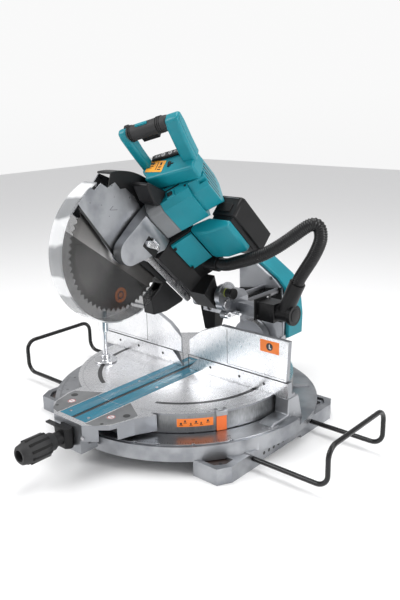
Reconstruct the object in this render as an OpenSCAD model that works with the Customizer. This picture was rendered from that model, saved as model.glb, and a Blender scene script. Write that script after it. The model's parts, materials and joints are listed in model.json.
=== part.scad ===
// Cordless slide compound mitre saw with a 305 mm blade, on its own base.
// Origin: on the ground under the turntable axis. X right, Y to the back, Z up.
// The head is drawn lowered, around the blade centre, and then raised about the chop hinge.

/* [Base and table] */
// Height of the table top above the ground
table_z = 130; // [120:1:160]
// Radius of the turntable disc
table_r = 298.5; // [280:0.5:320]
// Outer radius of the mitre scale plate
scale_r = 358; // [345:1:380]
// Length of the table arm, from the axis to its nose
nose_y = 419; // [400:1:460]
// Spacing of the bench bolts across the saw
bolt_x = 600; // [580:2:640]
// Spacing of the bench bolts from front to back
bolt_y = 410; // [380:2:440]
// Radius of a bench bolt hole
bolt_hole_r = 4.5; // [3:0.5:6]

/* [Fence] */
// Half of the fence's length
fence_half = 345; // [320:1:380]
// Height of the lower fence above the table
fence_low = 41.5; // [30:0.5:46]
// Height of the upper fences above the table
fence_high = 150.5; // [130:0.5:154]
// Thickness of the fences
fence_t = 16; // [12:0.5:20]

/* [Work holders] */
// Radius of the bent rod
rod_r = 6; // [5:0.5:7]
// How far out the holder's cross bar stands
holder_x = 550; // [500:5:600]
// Height of the cross bar's centre line
holder_z = 125; // [115:1:135]

/* [Blade] */
// Radius of the saw blade
blade_r = 152.5; // [145:0.5:156]
// Thickness of the blade at its teeth
kerf = 2.4; // [1.8:0.1:3]
// Radius of the lower guard's rim
guard_r = 180; // [176:1:182]

/* [Head] */
// Height of the chop hinge above the ground
pivot_z = 324; // [318:1:330]
// Chop hinge behind the fence face, with the head pulled out
pivot_y = 44; // [40:1:50]
// Distance from the chop hinge to the blade centre, along the saw
reach = 323; // [310:1:340]
// How far the head is raised at rest, in degrees
raise = 43.7; // [40:0.1:45]
// Tilt of the motor's axis, in degrees
motor_tilt = 42; // [40:1:45]

/* [Slide] */
// Radius of the two slide rods
slide_r = 9.5; // [8:0.5:10]
// Front face of the bevel arm
arm_y = 320; // [316:1:335]

/* [Hidden] */
$fn = 64;
run = 0.05; // radial clearance of a shaft that turns or slides in its hole
gap = 0.4; // clearance between curved faces of pieces that move past each other
pivot_drop = 54; // chop hinge above the blade centre, head lowered
ring_top = 76;
rear_top = 56;
plate_t = 3;
disc_low = table_z - 50;
bolt_back = fence_t + 8;
pointer_at = 59;
fence_bolt_r = 5;
board_t = 4;
slot_half = 6;
board_half = 48;
channel_half = 24;
board_front = nose_y - 16;
board_back = 66;
holder_ys = [-145, 108];
holder_rod_z = 28.5;
holder_in = 232;
rod_bend = 30;
guide_in = 226;
guide_out = 345;
wall_x = 318;
hub_r = 40;
centre_r = 12;
bevel_r = 12;
bracket_r = 62;
bracket_y = 292;
bracket_end = arm_y - 2;
vise_x = -216;
vise_y = -108;
post_x = -270;
post_y = 45;
post_r = 9;
vise_z = table_z + fence_high + 4;
screw_r = 7;
slide_z = pivot_z - 28.5;
slide_x = [30, 85];
pin_r = 8;
car_x0 = 8;
car_x1 = 112;
car_y0 = pivot_y + 26;
car_y1 = pivot_y + 96;
elbow_y = car_y0 + 40;
arm_x0 = 20;
arm_x1 = 88;
spindle_r = 12;
guard_x = 10;
link_x = 12;
guard_from = 64;
guard_to = 245;
rotor_shaft = 8;
socket_x = 108;
socket_y = 230;
socket_z = 124;
mount_u = [11, 37, 135];
cap_start = 121;
band_len = 42;
motor_half = 58;
handle_at = [0, -62, 200];
handle_tilt = 21;
hose_r = 17;
sleeve_tilt = 24;
sleeve_from = [258, elbow_y, slide_z + 22];
sleeve_len = 88;
sleeve_dir = [sin(sleeve_tilt), 0, cos(sleeve_tilt)];
socket_back = reach - socket_y;
socket_up = socket_z - pivot_drop;
hose_from = [
    socket_x,
    pivot_y - socket_back * cos(raise) + socket_up * sin(raise),
    pivot_z + socket_back * sin(raise) + socket_up * cos(raise)
];
hose_to = sleeve_from + sleeve_len * sleeve_dir;
hose_points = [
    hose_from, hose_from + [14, 0, 0], [140, 24, 442],
    [170, 25, 452], [207, 30, 465], [242, 40, 480], [271, 54, 499], [297, 68, 520],
    [320, 80, 540], [338, 90, 554], [352, 98, 556], [360, 104, 544], [360, 108, 520],
    [349, 110, 492], [334, 110, 464], [317, 110, 438],
    hose_to + 14 * sleeve_dir, hose_to
];

// ---- Helpers ----

// A block from its two corners
module block(low, high) {
    translate(low)
        cube(high - low);
}

// A cylinder along X between two places
module rod_x(x0, x1, y, z, r) {
    translate([x0, y, z])
        rotate([0, 90, 0])
            cylinder(r = r, h = x1 - x0);
}

// A cylinder along Y between two places
module rod_y(y0, y1, x, z, r) {
    translate([x, y1, z])
        rotate([90, 0, 0])
            cylinder(r = r, h = y1 - y0);
}

// An outline in X and Z, pushed along Y
module slab_y(y0, y1, points) {
    translate([0, y1, 0])
        rotate([90, 0, 0])
            linear_extrude(y1 - y0)
                polygon(points);
}

// An outline in Y and Z, pushed along X
module slab_x(x0, x1, points) {
    translate([x0, 0, 0])
        rotate([90, 0, 90])
            linear_extrude(x1 - x0)
                polygon(points);
}

// A block with its four upright edges cut off
module chamfered(low, high, c) {
    translate([0, 0, low[2]])
        linear_extrude(high[2] - low[2])
            polygon([
                [low[0] + c, low[1]], [high[0] - c, low[1]],
                [high[0], low[1] + c], [high[0], high[1] - c],
                [high[0] - c, high[1]], [low[0] + c, high[1]],
                [low[0], high[1] - c], [low[0], low[1] + c]
            ]);
}

// A wedge of a circle in the plan, in degrees from the back, turning to the left
module wedge(r, a0, a1) {
    steps = ceil((a1 - a0) / 30);
    polygon(concat(
        [[0, 0]],
        [for (i = [0:steps]) let(a = 90 + a0 + (a1 - a0) * i / steps) [r * cos(a), r * sin(a)]]
    ));
}

// Places what is drawn around the lowered blade centre where the raised head holds it
module head() {
    translate([0, pivot_y, pivot_z])
        rotate([-raise, 0, 0])
            translate([0, -reach, -pivot_drop])
                children();
}

// Places what is drawn along the motor's axis, with +X towards its flat underside
module motor() {
    head()
        translate(mount_u)
            rotate([0, 90 - motor_tilt, 0])
                children();
}

// Places what is drawn in the frame of the handle
module handle() {
    head()
        translate(handle_at)
            rotate([0, -handle_tilt, 0])
                children();
}

// ---- Base ----

module foot(side, end) {
    x1 = side * 345;
    x0 = side * 236;
    y1 = end < 0 ? -258 : 238;
    y0 = end < 0 ? -110 : 60;
    c = side * 18;
    difference() {
        linear_extrude(42)
            polygon([
                [x0, y0], [x1, y0], [x1, y1 - end * 34], [x1 - c, y1],
                [x0 + c, y1], [x0, y1 - end * 40]
            ]);
        translate([side * bolt_x / 2, end * bolt_y / 2, -1])
            cylinder(r = bolt_hole_r, h = 60);
        translate([side * bolt_x / 2, end * bolt_y / 2, 30])
            cylinder(r = 11, h = 30);
        translate([0, 0, 34])
            linear_extrude(20)
                polygon([
                    [x0 + c, y1 - end * 60], [x1 - c, y1 - end * 60],
                    [x1 - c, y1 - end * 34], [x1 - 2 * c, y1 - end * 12],
                    [x0 + 2 * c, y1 - end * 12], [x0 + c, y1 - end * 34]
                ]);
    }
}

module side_bridge(side) {
    slab_x(side > 0 ? wall_x - 18 : -wall_x - 27, side > 0 ? wall_x + 27 : -wall_x + 18, [
        [-112, 8], [62, 8], [62, 40], [48, 60], [44, 78], [-14, 78], [-26, 60], [-60, 46], [-112, 40]
    ]);
    translate([side * wall_x, bolt_back, 70])
        difference() {
            cylinder(r = 17, h = table_z - 70);
            translate([0, 0, 30])
                cylinder(r = fence_bolt_r + run, h = 60);
        }
}

module base_casting() {
    color("silver")
    difference() {
        union() {
            difference() {
                translate([0, 0, 38])
                    cylinder(r = 365, h = ring_top - 38, $fn = 128);
                translate([0, 0, 30])
                    cylinder(r = 352, h = ring_top - 36, $fn = 128);
                translate([0, 0, 30])
                    cylinder(r = table_r - 4, h = 80, $fn = 128);
                block([-400, 24, rear_top], [400, 400, 100]);
            }
            translate([0, 0, rear_top - 6])
                difference() {
                    cylinder(r = 356, h = 6, $fn = 128);
                    translate([0, 0, -1])
                        cylinder(r = table_r - 8, h = 8, $fn = 128);
                }
            intersection() {
                translate([0, 0, 38])
                    cylinder(r = 350, h = 30);
                for (a = [0:45:135])
                    rotate([0, 0, a])
                        block([-356, -7, 44], [356, 7, 60]);
            }
            translate([0, 0, 38])
                cylinder(r = 58, h = disc_low - 38 - gap);
            for (side = [-1, 1]) {
                foot(side, -1);
                foot(side, 1);
                side_bridge(side);
                for (y = holder_ys)
                    block(
                        [side > 0 ? guide_in : -guide_out, y - 13, 14],
                        [side > 0 ? guide_out : -guide_in, y + 13, 46]
                    );
            }
        }
        for (y = holder_ys)
            rod_x(-400, 400, y, holder_rod_z, rod_r + run);
        translate([0, 0, 20])
            cylinder(r = centre_r, h = 100);
    }
}

module scale_plate() {
    marks = [0, 15, 22.5, 31.6, 45, 60];
    color("gray")
    difference() {
        translate([0, 0, ring_top])
            linear_extrude(plate_t)
                difference() {
                    circle(r = scale_r, $fn = 128);
                    circle(r = table_r + 4, $fn = 128);
                    wedge(600, -98, 98);
                }
        for (a = marks)
            for (s = [-1, 1])
                rotate([0, 0, s * a])
                    translate([0, -scale_r, ring_top - 1])
                        cylinder(r = 5, h = plate_t + 2);
    }
}

module centre_bolt() {
    color("silver") {
        translate([0, 0, 26])
            cylinder(r = centre_r, h = table_z - 24 - 26);
        translate([0, 0, 14])
            cylinder(r = 20, h = 12, $fn = 6);
    }
}

// ---- Fence ----

// Half of a fence outline in X and height above the table, from the gap outwards
module fence_outline(side, y0, y1, points) {
    slab_y(y0, y1, [for (p = points) [side * p[0], p[1] + table_z]]);
}

// What the blade sweeps behind the fence face as the table turns
module mitre_relief() {
    translate([0, 0, table_z - 5])
        linear_extrude(fence_high + 20)
            polygon([[-9, -20], [9, -20], [9, 0], [153, 80], [-153, 80], [-9, 0]]);
}

module fence_lower() {
    color("gainsboro")
    difference() {
        union() {
            for (side = [-1, 1]) {
                fence_outline(side, 0, fence_t, [
                    [10, gap], [fence_half, gap], [fence_half, fence_low], [52, fence_low]
                ]);
                for (x = [130, 200, 250])
                    fence_outline(side, fence_t, fence_t + 12, [
                        [x, gap], [x + 8, gap], [x + 8, fence_low - 4], [x, 10]
                    ]);
                block(
                    [side > 0 ? 60 : -fence_half, fence_t, table_z + gap],
                    [side > 0 ? fence_half : -60, fence_t + 14, table_z + 8]
                );
                translate([side * wall_x, bolt_back, table_z])
                    cylinder(r = 15, h = 12);
            }
            block([post_x - 12, fence_t, table_z + gap], [post_x + 12, post_y, table_z + 12]);
            translate([post_x, post_y, table_z + gap])
                cylinder(r = 16, h = 12 - gap);
        }
        mitre_relief();
        translate([post_x, post_y, table_z - 5])
            cylinder(r = post_r + run, h = 30);
        for (side = [-1, 1]) {
            translate([side * wall_x, bolt_back, table_z - 5])
                cylinder(r = fence_bolt_r + run, h = 30);
            rod_y(6, 60, side * (fence_half - 45), table_z + 26, 6 + run);
        }
    }
}

module fence_bolts() {
    color("silver")
    for (side = [-1, 1])
        translate([side * wall_x, bolt_back, table_z - 20]) {
            cylinder(r = fence_bolt_r, h = 32);
            translate([0, 0, 32])
                cylinder(r = 7.8, h = 7);
        }
}

module fence_upper(side) {
    low = fence_low + 0.6;
    color("gainsboro")
    difference() {
        fence_outline(side, 0, fence_t - 2, [
            [14, low], [fence_half - 6, low], [fence_half, fence_high], [130, fence_high],
            [60, fence_high - 30], [14, fence_high - 65]
        ]);
        mitre_relief();
    }
}

module fence_upper_left() {
    fence_upper(-1);
}

module fence_upper_right() {
    fence_upper(1);
}

// Clamp knob behind the end of a lower fence
module fence_knob(side) {
    x = side * (fence_half - 45);
    color("dimgray") {
        rod_y(7, fence_t + 16, x, table_z + 26, 6);
        rod_y(fence_t + 16, fence_t + 30, x, table_z + 26, 13);
        block([x - 4, fence_t + 20, table_z + 26], [x + 4, fence_t + 30, table_z + 66]);
    }
}

module fence_knob_left() {
    fence_knob(-1);
}

module fence_knob_right() {
    fence_knob(1);
}

// ---- Work holders ----

// A quarter bend of rod in the plane of Y and Z, or of X and Z
module bend(turn) {
    rotate(turn)
        rotate_extrude(angle = 90)
            translate([rod_bend, 0])
                circle(r = rod_r);
}

module holder(side) {
    rise = holder_z - holder_rod_z;
    y0 = holder_ys[0];
    y1 = holder_ys[1];
    x1 = holder_x - rod_bend;
    color("#222222")
    mirror([side < 0 ? 1 : 0, 0, 0]) {
        for (y = holder_ys) {
            rod_x(holder_in, x1, y, holder_rod_z, rod_r);
            translate([x1, y, holder_rod_z + rod_bend])
                bend([90, 90, 0]);
            translate([holder_x, y, holder_rod_z + rod_bend])
                cylinder(r = rod_r, h = rise - 2 * rod_bend);
        }
        rod_y(y0 + rod_bend, y1 - rod_bend, holder_x, holder_z, rod_r);
        translate([holder_x, y0 + rod_bend, holder_z - rod_bend])
            bend([90, 0, -90]);
        translate([holder_x, y1 - rod_bend, holder_z - rod_bend])
            bend([0, -90, 0]);
    }
}

module holder_left() {
    holder(-1);
}

module holder_right() {
    holder(1);
}

// ---- Vise ----

module vise_post() {
    color("silver") {
        translate([post_x, post_y, table_z + 1])
            cylinder(r = post_r, h = vise_z + 15 - table_z);
        translate([post_x, post_y, table_z + 12])
            cylinder(r = 13, h = 8);
    }
}

module vise_arm() {
    color("silver")
    difference() {
        union() {
            hull() {
                translate([post_x, post_y, vise_z])
                    cylinder(r = 16, h = 16);
                translate([vise_x, vise_y, vise_z])
                    cylinder(r = 15, h = 16);
            }
            translate([vise_x, vise_y, vise_z - 62])
                cylinder(r = 14, h = 64);
        }
        translate([post_x, post_y, vise_z - 5])
            cylinder(r = post_r + run, h = 40);
        translate([vise_x, vise_y, vise_z - 90])
            cylinder(r = screw_r + run, h = 140);
    }
}

module vise_screw() {
    color("silver")
    translate([vise_x, vise_y, 0]) {
        translate([0, 0, table_z + 22])
            cylinder(r = screw_r, h = vise_z + 20 - table_z - 22);
        translate([0, 0, vise_z + 17])
            cylinder(r = 13, h = 10);
    }
}

module vise_pad() {
    color("silver")
    translate([vise_x, vise_y, table_z + 1]) {
        cylinder(r = 33, h = 5);
        translate([0, 0, 5])
            cylinder(r = 13, h = 16);
    }
}

// ---- Turntable ----

// The plan of the table arm, from behind the disc to the nose
function arm_outline(back) = [
    [-124, back], [-124, -nose_y + 101], [-104, -nose_y + 40], [-52, -nose_y],
    [52, -nose_y], [104, -nose_y + 40], [124, -nose_y + 101], [150, -nose_y + 150], [124, back]
];

module turntable() {
    color("whitesmoke")
    difference() {
        union() {
            difference() {
                translate([0, 0, disc_low])
                    cylinder(r = table_r, h = table_z - disc_low, $fn = 128);
                translate([0, 0, disc_low - 1])
                    cylinder(r = table_r - 8, h = table_z - disc_low - 9, $fn = 128);
            }
            translate([0, 0, disc_low])
                cylinder(r = hub_r, h = table_z - disc_low - 4);
            translate([0, 0, table_z - 42])
                linear_extrude(42)
                    polygon(arm_outline(-table_r + 30));
            block([-44, -nose_y, 52], [44, -scale_r - 10, table_z - 10]);
            for (a = [60, 120, 180])
                rotate([0, 0, a])
                    block([-table_r + 4, -4, table_z - 34], [table_r - 4, 4, table_z - 6]);
            block([-70, 0, table_z - 24], [70, table_r - 4, table_z - 6]);
            block([-bracket_r, table_r - 30, disc_low + 6], [bracket_r, bracket_y + 2, table_z]);
            intersection() {
                rod_y(bracket_y, bracket_end, 0, table_z, bracket_r);
                block([-100, 200, disc_low + 6], [100, 400, 300]);
            }
        }
        block([-board_half - gap, -board_front - gap, table_z - board_t], [board_half + gap, board_back + gap, 200]);
        block([-110, -nose_y + 24, table_z - 60], [110, -table_r - 40, table_z - 12]);
        rod_y(bracket_y - 60, bracket_end + 5, 0, table_z, bevel_r + run);
        translate([0, 0, 20])
            cylinder(r = centre_r + run, h = table_z - 20 - 22);
        block([-channel_half, -board_front, table_z - 22], [channel_half, board_back, 200]);
        for (side = [-1, 1])
            translate([0, 0, table_z - 6])
                linear_extrude(10)
                    intersection() {
                        difference() {
                            circle(r = 246, $fn = 128);
                            circle(r = 234, $fn = 128);
                        }
                        rotate([0, 0, side > 0 ? -90 : 90])
                            wedge(400, side > 0 ? -62 : -2, side > 0 ? 2 : 62);
                    }
    }
}

module kerf_board(side) {
    color("steelblue")
    difference() {
        block(
            [side > 0 ? slot_half : -board_half, -board_front, table_z - board_t],
            [side > 0 ? board_half : -slot_half, board_back, table_z]
        );
        for (y = [-board_front + 22, -150, board_back - 16])
            translate([side * 33, y, table_z - 2.4])
                cylinder(r = 4.4, h = 10);
    }
}

module kerf_board_left() {
    kerf_board(-1);
}

module kerf_board_right() {
    kerf_board(1);
}

module kerf_screws() {
    color("black")
    for (side = [-1, 1])
        for (y = [-board_front + 22, -150, board_back - 16])
            translate([side * 33, y, table_z - 2.4])
                cylinder(r = 4, h = 2.2);
}

module mitre_pointer() {
    color("orange")
    rotate([0, 0, pointer_at])
        difference() {
            block([-13, -table_r - 2.7, table_z - 50.6], [13, -table_r + 4, table_z - 1]);
            rotate([0, 0, -pointer_at])
                cylinder(r = table_r + 0.12, h = 200, $fn = 128);
        }
}

module lock_neck() {
    color("#222222")
    difference() {
        union() {
            chamfered([-26, -nose_y - 26, 68], [26, -nose_y, 118], 8);
            rod_y(-nose_y - 46, -nose_y - 26, 0, 92, 17);
        }
        rod_y(-nose_y - 100, -nose_y - 8, 0, 92, 7 + run);
        block([-31, -nose_y - 22, 106], [-13, -nose_y - 4, 130]);
        rod_y(-nose_y - 25, -nose_y - 1, -18, 112, 3.5 + run);
    }
}

module lock_grip() {
    y0 = -nose_y - 46 - 1;
    color("black")
    difference() {
        union() {
            rod_y(y0, -nose_y - 10, 0, 92, 7);
            rod_y(y0 - 16, y0, 0, 92, 22);
            rod_y(y0 - 78, y0 - 16, 0, 92, 30);
            rod_y(y0 - 94, y0 - 78, 0, 92, 24);
        }
        rod_y(y0 - 100, y0 - 66, 0, 92, 14);
    }
}

module detent_lever() {
    color("#333333")
    translate([0, -nose_y - 13, 0]) {
        block([-62, -6, 110], [-15, 6, 114]);
        rod_y(-11, 11, -18, 112, 3.5);
    }
}

// ---- Bevel arm ----

module arm_casting() {
    side = [
        [-62, 112], [-62, 378], [-48, 391], [58, 391], [94, 345],
        [114, 210], [112, 160], [60, 104]
    ];
    color("silver")
    difference() {
        union() {
            slab_y(arm_y, arm_y + 66, side);
            rod_y(arm_y, arm_y + 40, 0, table_z, 60);
        }
        rod_y(arm_y - 20, arm_y + 100, 0, table_z, bevel_r + run);
        for (x = slide_x)
            rod_y(arm_y - 20, arm_y + 50, x, slide_z, slide_r + run);
        slab_y(arm_y + 12, arm_y + 70, [
            [-46, 200], [-46, 274], [58, 274], [58, 200]
        ]);
    }
}

module arm_cover() {
    color("darkcyan")
    slab_y(arm_y + 10, arm_y + 84, [
        [58, 391], [68, 400], [105, 350], [127, 212], [125, 152], [112, 148], [112, 160],
        [114, 210], [94, 345]
    ]);
}

module arm_face() {
    color("#222222")
    difference() {
        slab_y(arm_y - 6, arm_y, [
            [-56, 198], [-56, 284], [100, 308], [104, 200]
        ]);
        for (x = slide_x)
            rod_y(arm_y - 20, arm_y + 20, x, slide_z, slide_r + 1);
    }
}

module slide_rods() {
    color("dimgray")
    for (x = slide_x)
        rod_y(car_y0 + 4, arm_y + 46, x, slide_z, slide_r);
}

module bevel_shaft() {
    color("silver")
    rod_y(bracket_y + 6, arm_y + 84, 0, table_z, bevel_r);
}

module bevel_lever() {
    y0 = arm_y + 66 + gap;
    color("black")
    difference() {
        union() {
            rod_y(y0, y0 + 14, 0, table_z, 20);
            block([-7, y0 + 2, table_z - 62], [7, y0 + 14, table_z - 14]);
            rod_y(y0 + 1, y0 + 38, 0, table_z - 62, 10);
        }
        rod_y(y0 - 10, y0 + 30, 0, table_z, bevel_r + run);
    }
}

// ---- Slide carriage ----

module carriage() {
    color("silver")
    difference() {
        union() {
            slab_y(car_y0, car_y1, [
                [car_x0, slide_z - 12], [car_x1, slide_z - 12], [car_x1, slide_z + 34],
                [car_x1 - 14, slide_z + 48], [car_x0 + 12, slide_z + 48], [car_x0, slide_z + 36]
            ]);
            for (x = [[car_x0, arm_x0 - 2], [arm_x1 + 2, car_x1]]) {
                rod_x(x[0], x[1], pivot_y, pivot_z, 18);
                block([x[0], pivot_y, pivot_z - 18], [x[1], car_y0 + 2, pivot_z + 18]);
            }
            rod_x(arm_x1 + 8, car_x1, pivot_y, pivot_z + 24, 30);
            block([arm_x1 + 8, pivot_y + 2, pivot_z - 40], [car_x1, car_y0 + 4, pivot_z - 10]);
            rod_x(arm_x1 + 8, car_x1, pivot_y + 2, pivot_z - 30, 10);
            rod_x(car_x1 - 2, car_x1 + 12, pivot_y + 2, pivot_z - 30, 4);
            block([car_x1 - 4, car_y0 + 20, slide_z - 6], [182, car_y1 - 20, slide_z + 24]);
        }
        rod_x(-20, car_x1 + 20, pivot_y, pivot_z, pin_r);
        rod_x(car_x1 - 12, car_x1 + 20, pivot_y - 2, pivot_z + 34, 5 + run);
        for (x = slide_x)
            rod_y(car_y0 - 50, car_y1 + 10, x, slide_z, slide_r + run);
    }
}

module dust_duct() {
    top = slide_z - 12;
    color("#222222")
    difference() {
        hull() {
            block([-24, car_y0 + 24, top - 1], [30, car_y1 + 8, top]);
            block([-18, car_y0 + 34, top - 70], [18, car_y1 - 6, top - 68]);
        }
        hull() {
            block([-20, car_y0 + 28, top - 5], [26, car_y1 + 4, top - 4]);
            block([-14, car_y0 + 38, top - 80], [14, car_y1 - 10, top - 68]);
        }
    }
}

module pivot_pin() {
    color("silver") {
        rod_x(car_x0 - 3, car_x1 + 6, pivot_y, pivot_z, pin_r);
        rod_x(car_x1, car_x1 + 6, pivot_y, pivot_z, 14);
    }
}

module return_spring() {
    color("gray")
    difference() {
        rod_x(arm_x0 + 26, arm_x1 - 26, pivot_y, pivot_z, 13);
        rod_x(arm_x0, arm_x1, pivot_y, pivot_z, 10);
    }
}

module dust_elbow() {
    zc = slide_z + 12;
    color("#222222") {
        block([182, car_y0 + 4, slide_z - 10], [186, car_y1 + 4, slide_z + 48]);
        block([186, car_y0 + 14, slide_z - 10], [238, car_y1 - 4, slide_z + 40]);
        rod_x(238, 276, elbow_y, zc + 2, 22);
        translate(sleeve_from)
            rotate([0, sleeve_tilt, 0])
                cylinder(r = hose_r + 4, h = sleeve_len);
    }
}

module elbow_cap() {
    color("black")
    difference() {
        rod_x(276.5, 288, elbow_y, slide_z + 14, 27);
        translate(sleeve_from)
            rotate([0, sleeve_tilt, 0])
                translate([0, 0, -40])
                    cylinder(r = hose_r + 4.4, h = sleeve_len + 40);
    }
}

module arc_cover() {
    color("gainsboro")
    difference() {
        slab_x(car_x1, car_x1 + 3.5, [
            for (a = [-40:10:150]) [
                pivot_y + 38 * cos(a), pivot_z + 24 + 38 * sin(a)
            ]
        ]);
        rod_x(car_x1 - 2, car_x1 + 20, pivot_y - 2, pivot_z + 34, 5 + run);
    }
}

module slide_knob() {
    color("black") {
        rod_x(car_x1 - 10, car_x1 + 5, pivot_y - 2, pivot_z + 34, 5);
        rod_x(car_x1 + 5, car_x1 + 22, pivot_y - 2, pivot_z + 34, 12);
        rod_x(car_x1 + 22, car_x1 + 30, pivot_y - 2, pivot_z + 34, 15);
    }
}

module stop_lever() {
    y = pivot_y + 2;
    z = pivot_z - 30;
    color("silver")
    difference() {
        union() {
            rod_x(car_x1 + gap, car_x1 + 10, y, z, 9.5);
            block([car_x1 + 2, y, z - 5], [car_x1 + 8, y + 32, z + 5]);
            rod_x(car_x1 + 2, car_x1 + 22, y + 32, z, 6);
        }
        rod_x(car_x1 - 10, car_x1 + 30, y, z, 4 + run);
    }
}

// ---- Dust hose ----

// A ring of points square to the way the route runs there
function ring_at(p, dir, r, n) =
    let(
        w = dir / norm(dir),
        side = cross(w, [0, 1, 0.2]),
        u = side / norm(side),
        v = cross(w, u)
    )
    [for (k = [0:n - 1]) p + r * (u * cos(360 * k / n) + v * sin(360 * k / n))];

module dust_hose() {
    n = 12;
    last = len(hose_points) - 1;
    rings = [
        for (i = [0:last])
            ring_at(
                hose_points[i],
                hose_points[min(i + 1, last)] - hose_points[max(i - 1, 0)],
                hose_r, n
            )
    ];
    color("#1c1c1c")
    polyhedron(
        [for (r = rings) each r],
        concat(
            [[for (k = [0:n - 1]) k]],
            [
                for (i = [0:last - 1])
                    for (k = [0:n - 1])
                        let(a = i * n + k, b = i * n + (k + 1) % n)
                        each [[a, a + n, b + n], [a, b + n, b]]
            ],
            [[for (k = [n - 1:-1:0]) last * n + k]]
        )
    );
}

// ---- Head ----

module gear_housing() {
    color("silver")
    head()
    difference() {
        union() {
            intersection() {
                hull() {
                    rod_x(arm_x0, 46, 0, 0, 34);
                    block([arm_x0, -18, 66], [48, 90, 92]);
                    translate(mount_u)
                        rotate([0, 90 - motor_tilt, 0])
                            block([-50, -52, -8], [50, 52, -0.1]);
                }
                block([arm_x0, -100, -60], [200, 92, 400]);
            }
            rod_x(link_x - 1, arm_x0 + 1, 48, 59, 4);
        }
        rod_x(0, 42, 0, 0, spindle_r + run);
    }
}

module head_arm() {
    color("#222222")
    head()
    difference() {
        union() {
            slab_y(92.5, reach - 66, [
                [arm_x0, 40], [40, 40], [50, 86], [90, 132], [90, 150], [arm_x0, 150]
            ]);
            slab_x(arm_x0, arm_x1, [
                [reach - 68, 40], [reach - 30, 38], [reach, pivot_drop - 18], [reach, pivot_drop + 18],
                [reach - 40, 84], [reach - 68, 100]
            ]);
            rod_x(arm_x0, arm_x1, reach, pivot_drop, 18);
            rod_x(60, socket_x, socket_y, socket_z, hose_r + 4);
        }
        rod_x(0, 200, reach, pivot_drop, pin_r + run);
        rod_x(arm_x0 + 25, arm_x1 - 25, reach, pivot_drop, 14);
    }
}

module side_cover() {
    color("darkcyan")
    head()
    difference() {
        slab_y(98, 204, [[50.3, 85.8], [90.3, 131.8], [96, 127], [56, 81]]);
        for (y = [108, 194])
            translate([58, y, 86])
                rotate([0, 90 + 41, 0])
                    translate([0, 0, -20])
                        cylinder(r = 2.5, h = 60);
    }
}

module upper_guard() {
    color("#2a2a2a")
    head()
    difference() {
        rod_x(-31, guard_x, 0, 0, guard_r - 12);
        rod_x(-28, guard_x - 3, 0, 0, guard_r - 17);
        rod_x(-29, guard_x + 1, 0, 0, 40);
        rod_x(-40, 0, 0, 0, 20);
        block([-60, -300, -300], [60, 300, 6]);
    }
}

module guard_cover() {
    color("lightgray")
    head()
    difference() {
        union() {
            slab_x(-41, -38, [
                [-141, 0], [-136, 122], [-104, 134], [-66, 146], [-30, 120], [0, 96], [34, 40],
                [42, 0], [30, -22], [0, -36], [-30, -22], [-36, 0]
            ]);
            rod_x(-38, -31, 0, 0, 28);
        }
        rod_x(-60, 0, 0, 0, 17);
    }
}

module lower_guard() {
    steps = 6;
    turn = 360 + guard_from - guard_to;
    color([0.75, 0.78, 0.8, 0.5])
    head()
    difference() {
        union() {
            difference() {
                rod_x(-36, guard_x - 2, 0, 0, guard_r);
                rod_x(-33, guard_x + 5, 0, 0, guard_r - 4);
                slab_x(-60, 60, concat(
                    [[0, 0]],
                    [for (i = [0:steps]) let(a = guard_to + turn * i / steps) [-400 * sin(a), 400 * cos(a)]]
                ));
            }
            rod_x(-36, -33, 0, 0, 40);
        }
        rod_x(-60, 0, 0, 0, 28 + run);
    }
}

module guard_link() {
    color("silver")
    head()
    difference() {
        slab_x(link_x, link_x + 6, [
            [40, 50], [40, 66], [56, 70], [282, 44], [282, 30], [270, 26], [56, 48]
        ]);
        rod_x(0, 40, 48, 59, 4 + run);
        for (y = [214, 250])
            rod_x(0, 40, y, 44 - (y - 214) * 0.12, 3);
    }
}

module dust_nozzle() {
    color("#222222")
    head()
    difference() {
        slab_x(-26, guard_x, [
            [169, -40], [204, -68], [240, -36], [274, 14], [274, 23], [178, 23], [177, 0]
        ]);
        slab_x(-20, guard_x - 6, [
            [150, -30], [204, -56], [230, -34], [250, 0], [250, 12], [160, 12], [150, 0]
        ]);
    }
}

module motor_shape(t0, t1, half) {
    c = 14;
    intersection() {
        translate(mount_u)
            rotate([0, 90 - motor_tilt, 0])
                chamfered([-half, -55, t0], [motor_half, 55, t1], c);
        block([arm_x0 + 0.2, -200, -200], [500, 400, 600]);
    }
}

module motor_housing() {
    color("darkcyan")
    head()
    difference() {
        motor_shape(band_len, cap_start, motor_half);
        translate(mount_u)
            rotate([0, 90 - motor_tilt, 0]) {
                translate([0, 0, band_len + 6])
                    cylinder(r = 40, h = cap_start - band_len - 12);
                translate([0, 0, band_len - 1])
                    cylinder(r = rotor_shaft + run, h = cap_start - band_len + 2);
            }
    }
}

module motor_band() {
    color("gray")
    head()
        motor_shape(0, band_len, motor_half);
}

module motor_cap() {
    color("darkcyan")
    motor()
    difference() {
        chamfered([-motor_half, -55, cap_start], [motor_half - 8, 50, cap_start + 46], 20);
        for (x = [-36:18:36])
            block([x - 4, -60, cap_start + 26], [x + 4, -30, cap_start + 60]);
    }
}

module motor_rotor() {
    color("silver")
    head()
        translate(mount_u)
            rotate([0, 90 - motor_tilt, 0]) {
                translate([0, 0, band_len + 10])
                    cylinder(r = 36, h = cap_start - band_len - 20);
                translate([0, 0, band_len])
                    cylinder(r = rotor_shaft, h = cap_start - band_len);
            }
}

module handle_body() {
    color("darkcyan")
    handle() {
        block([0, 0, -12], [24, 43, 18]);
        block([24, 0, -42], [142, 43, 18]);
        hull() {
            block([2, 0, -8], [22, 6, 16]);
            block([6, -112, 4], [24, -80, 30]);
        }
        hull() {
            block([120.4, 0, -14], [142, 6, 16]);
            block([120.4, -112, 2], [142, -78, 34]);
        }
    }
}

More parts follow.
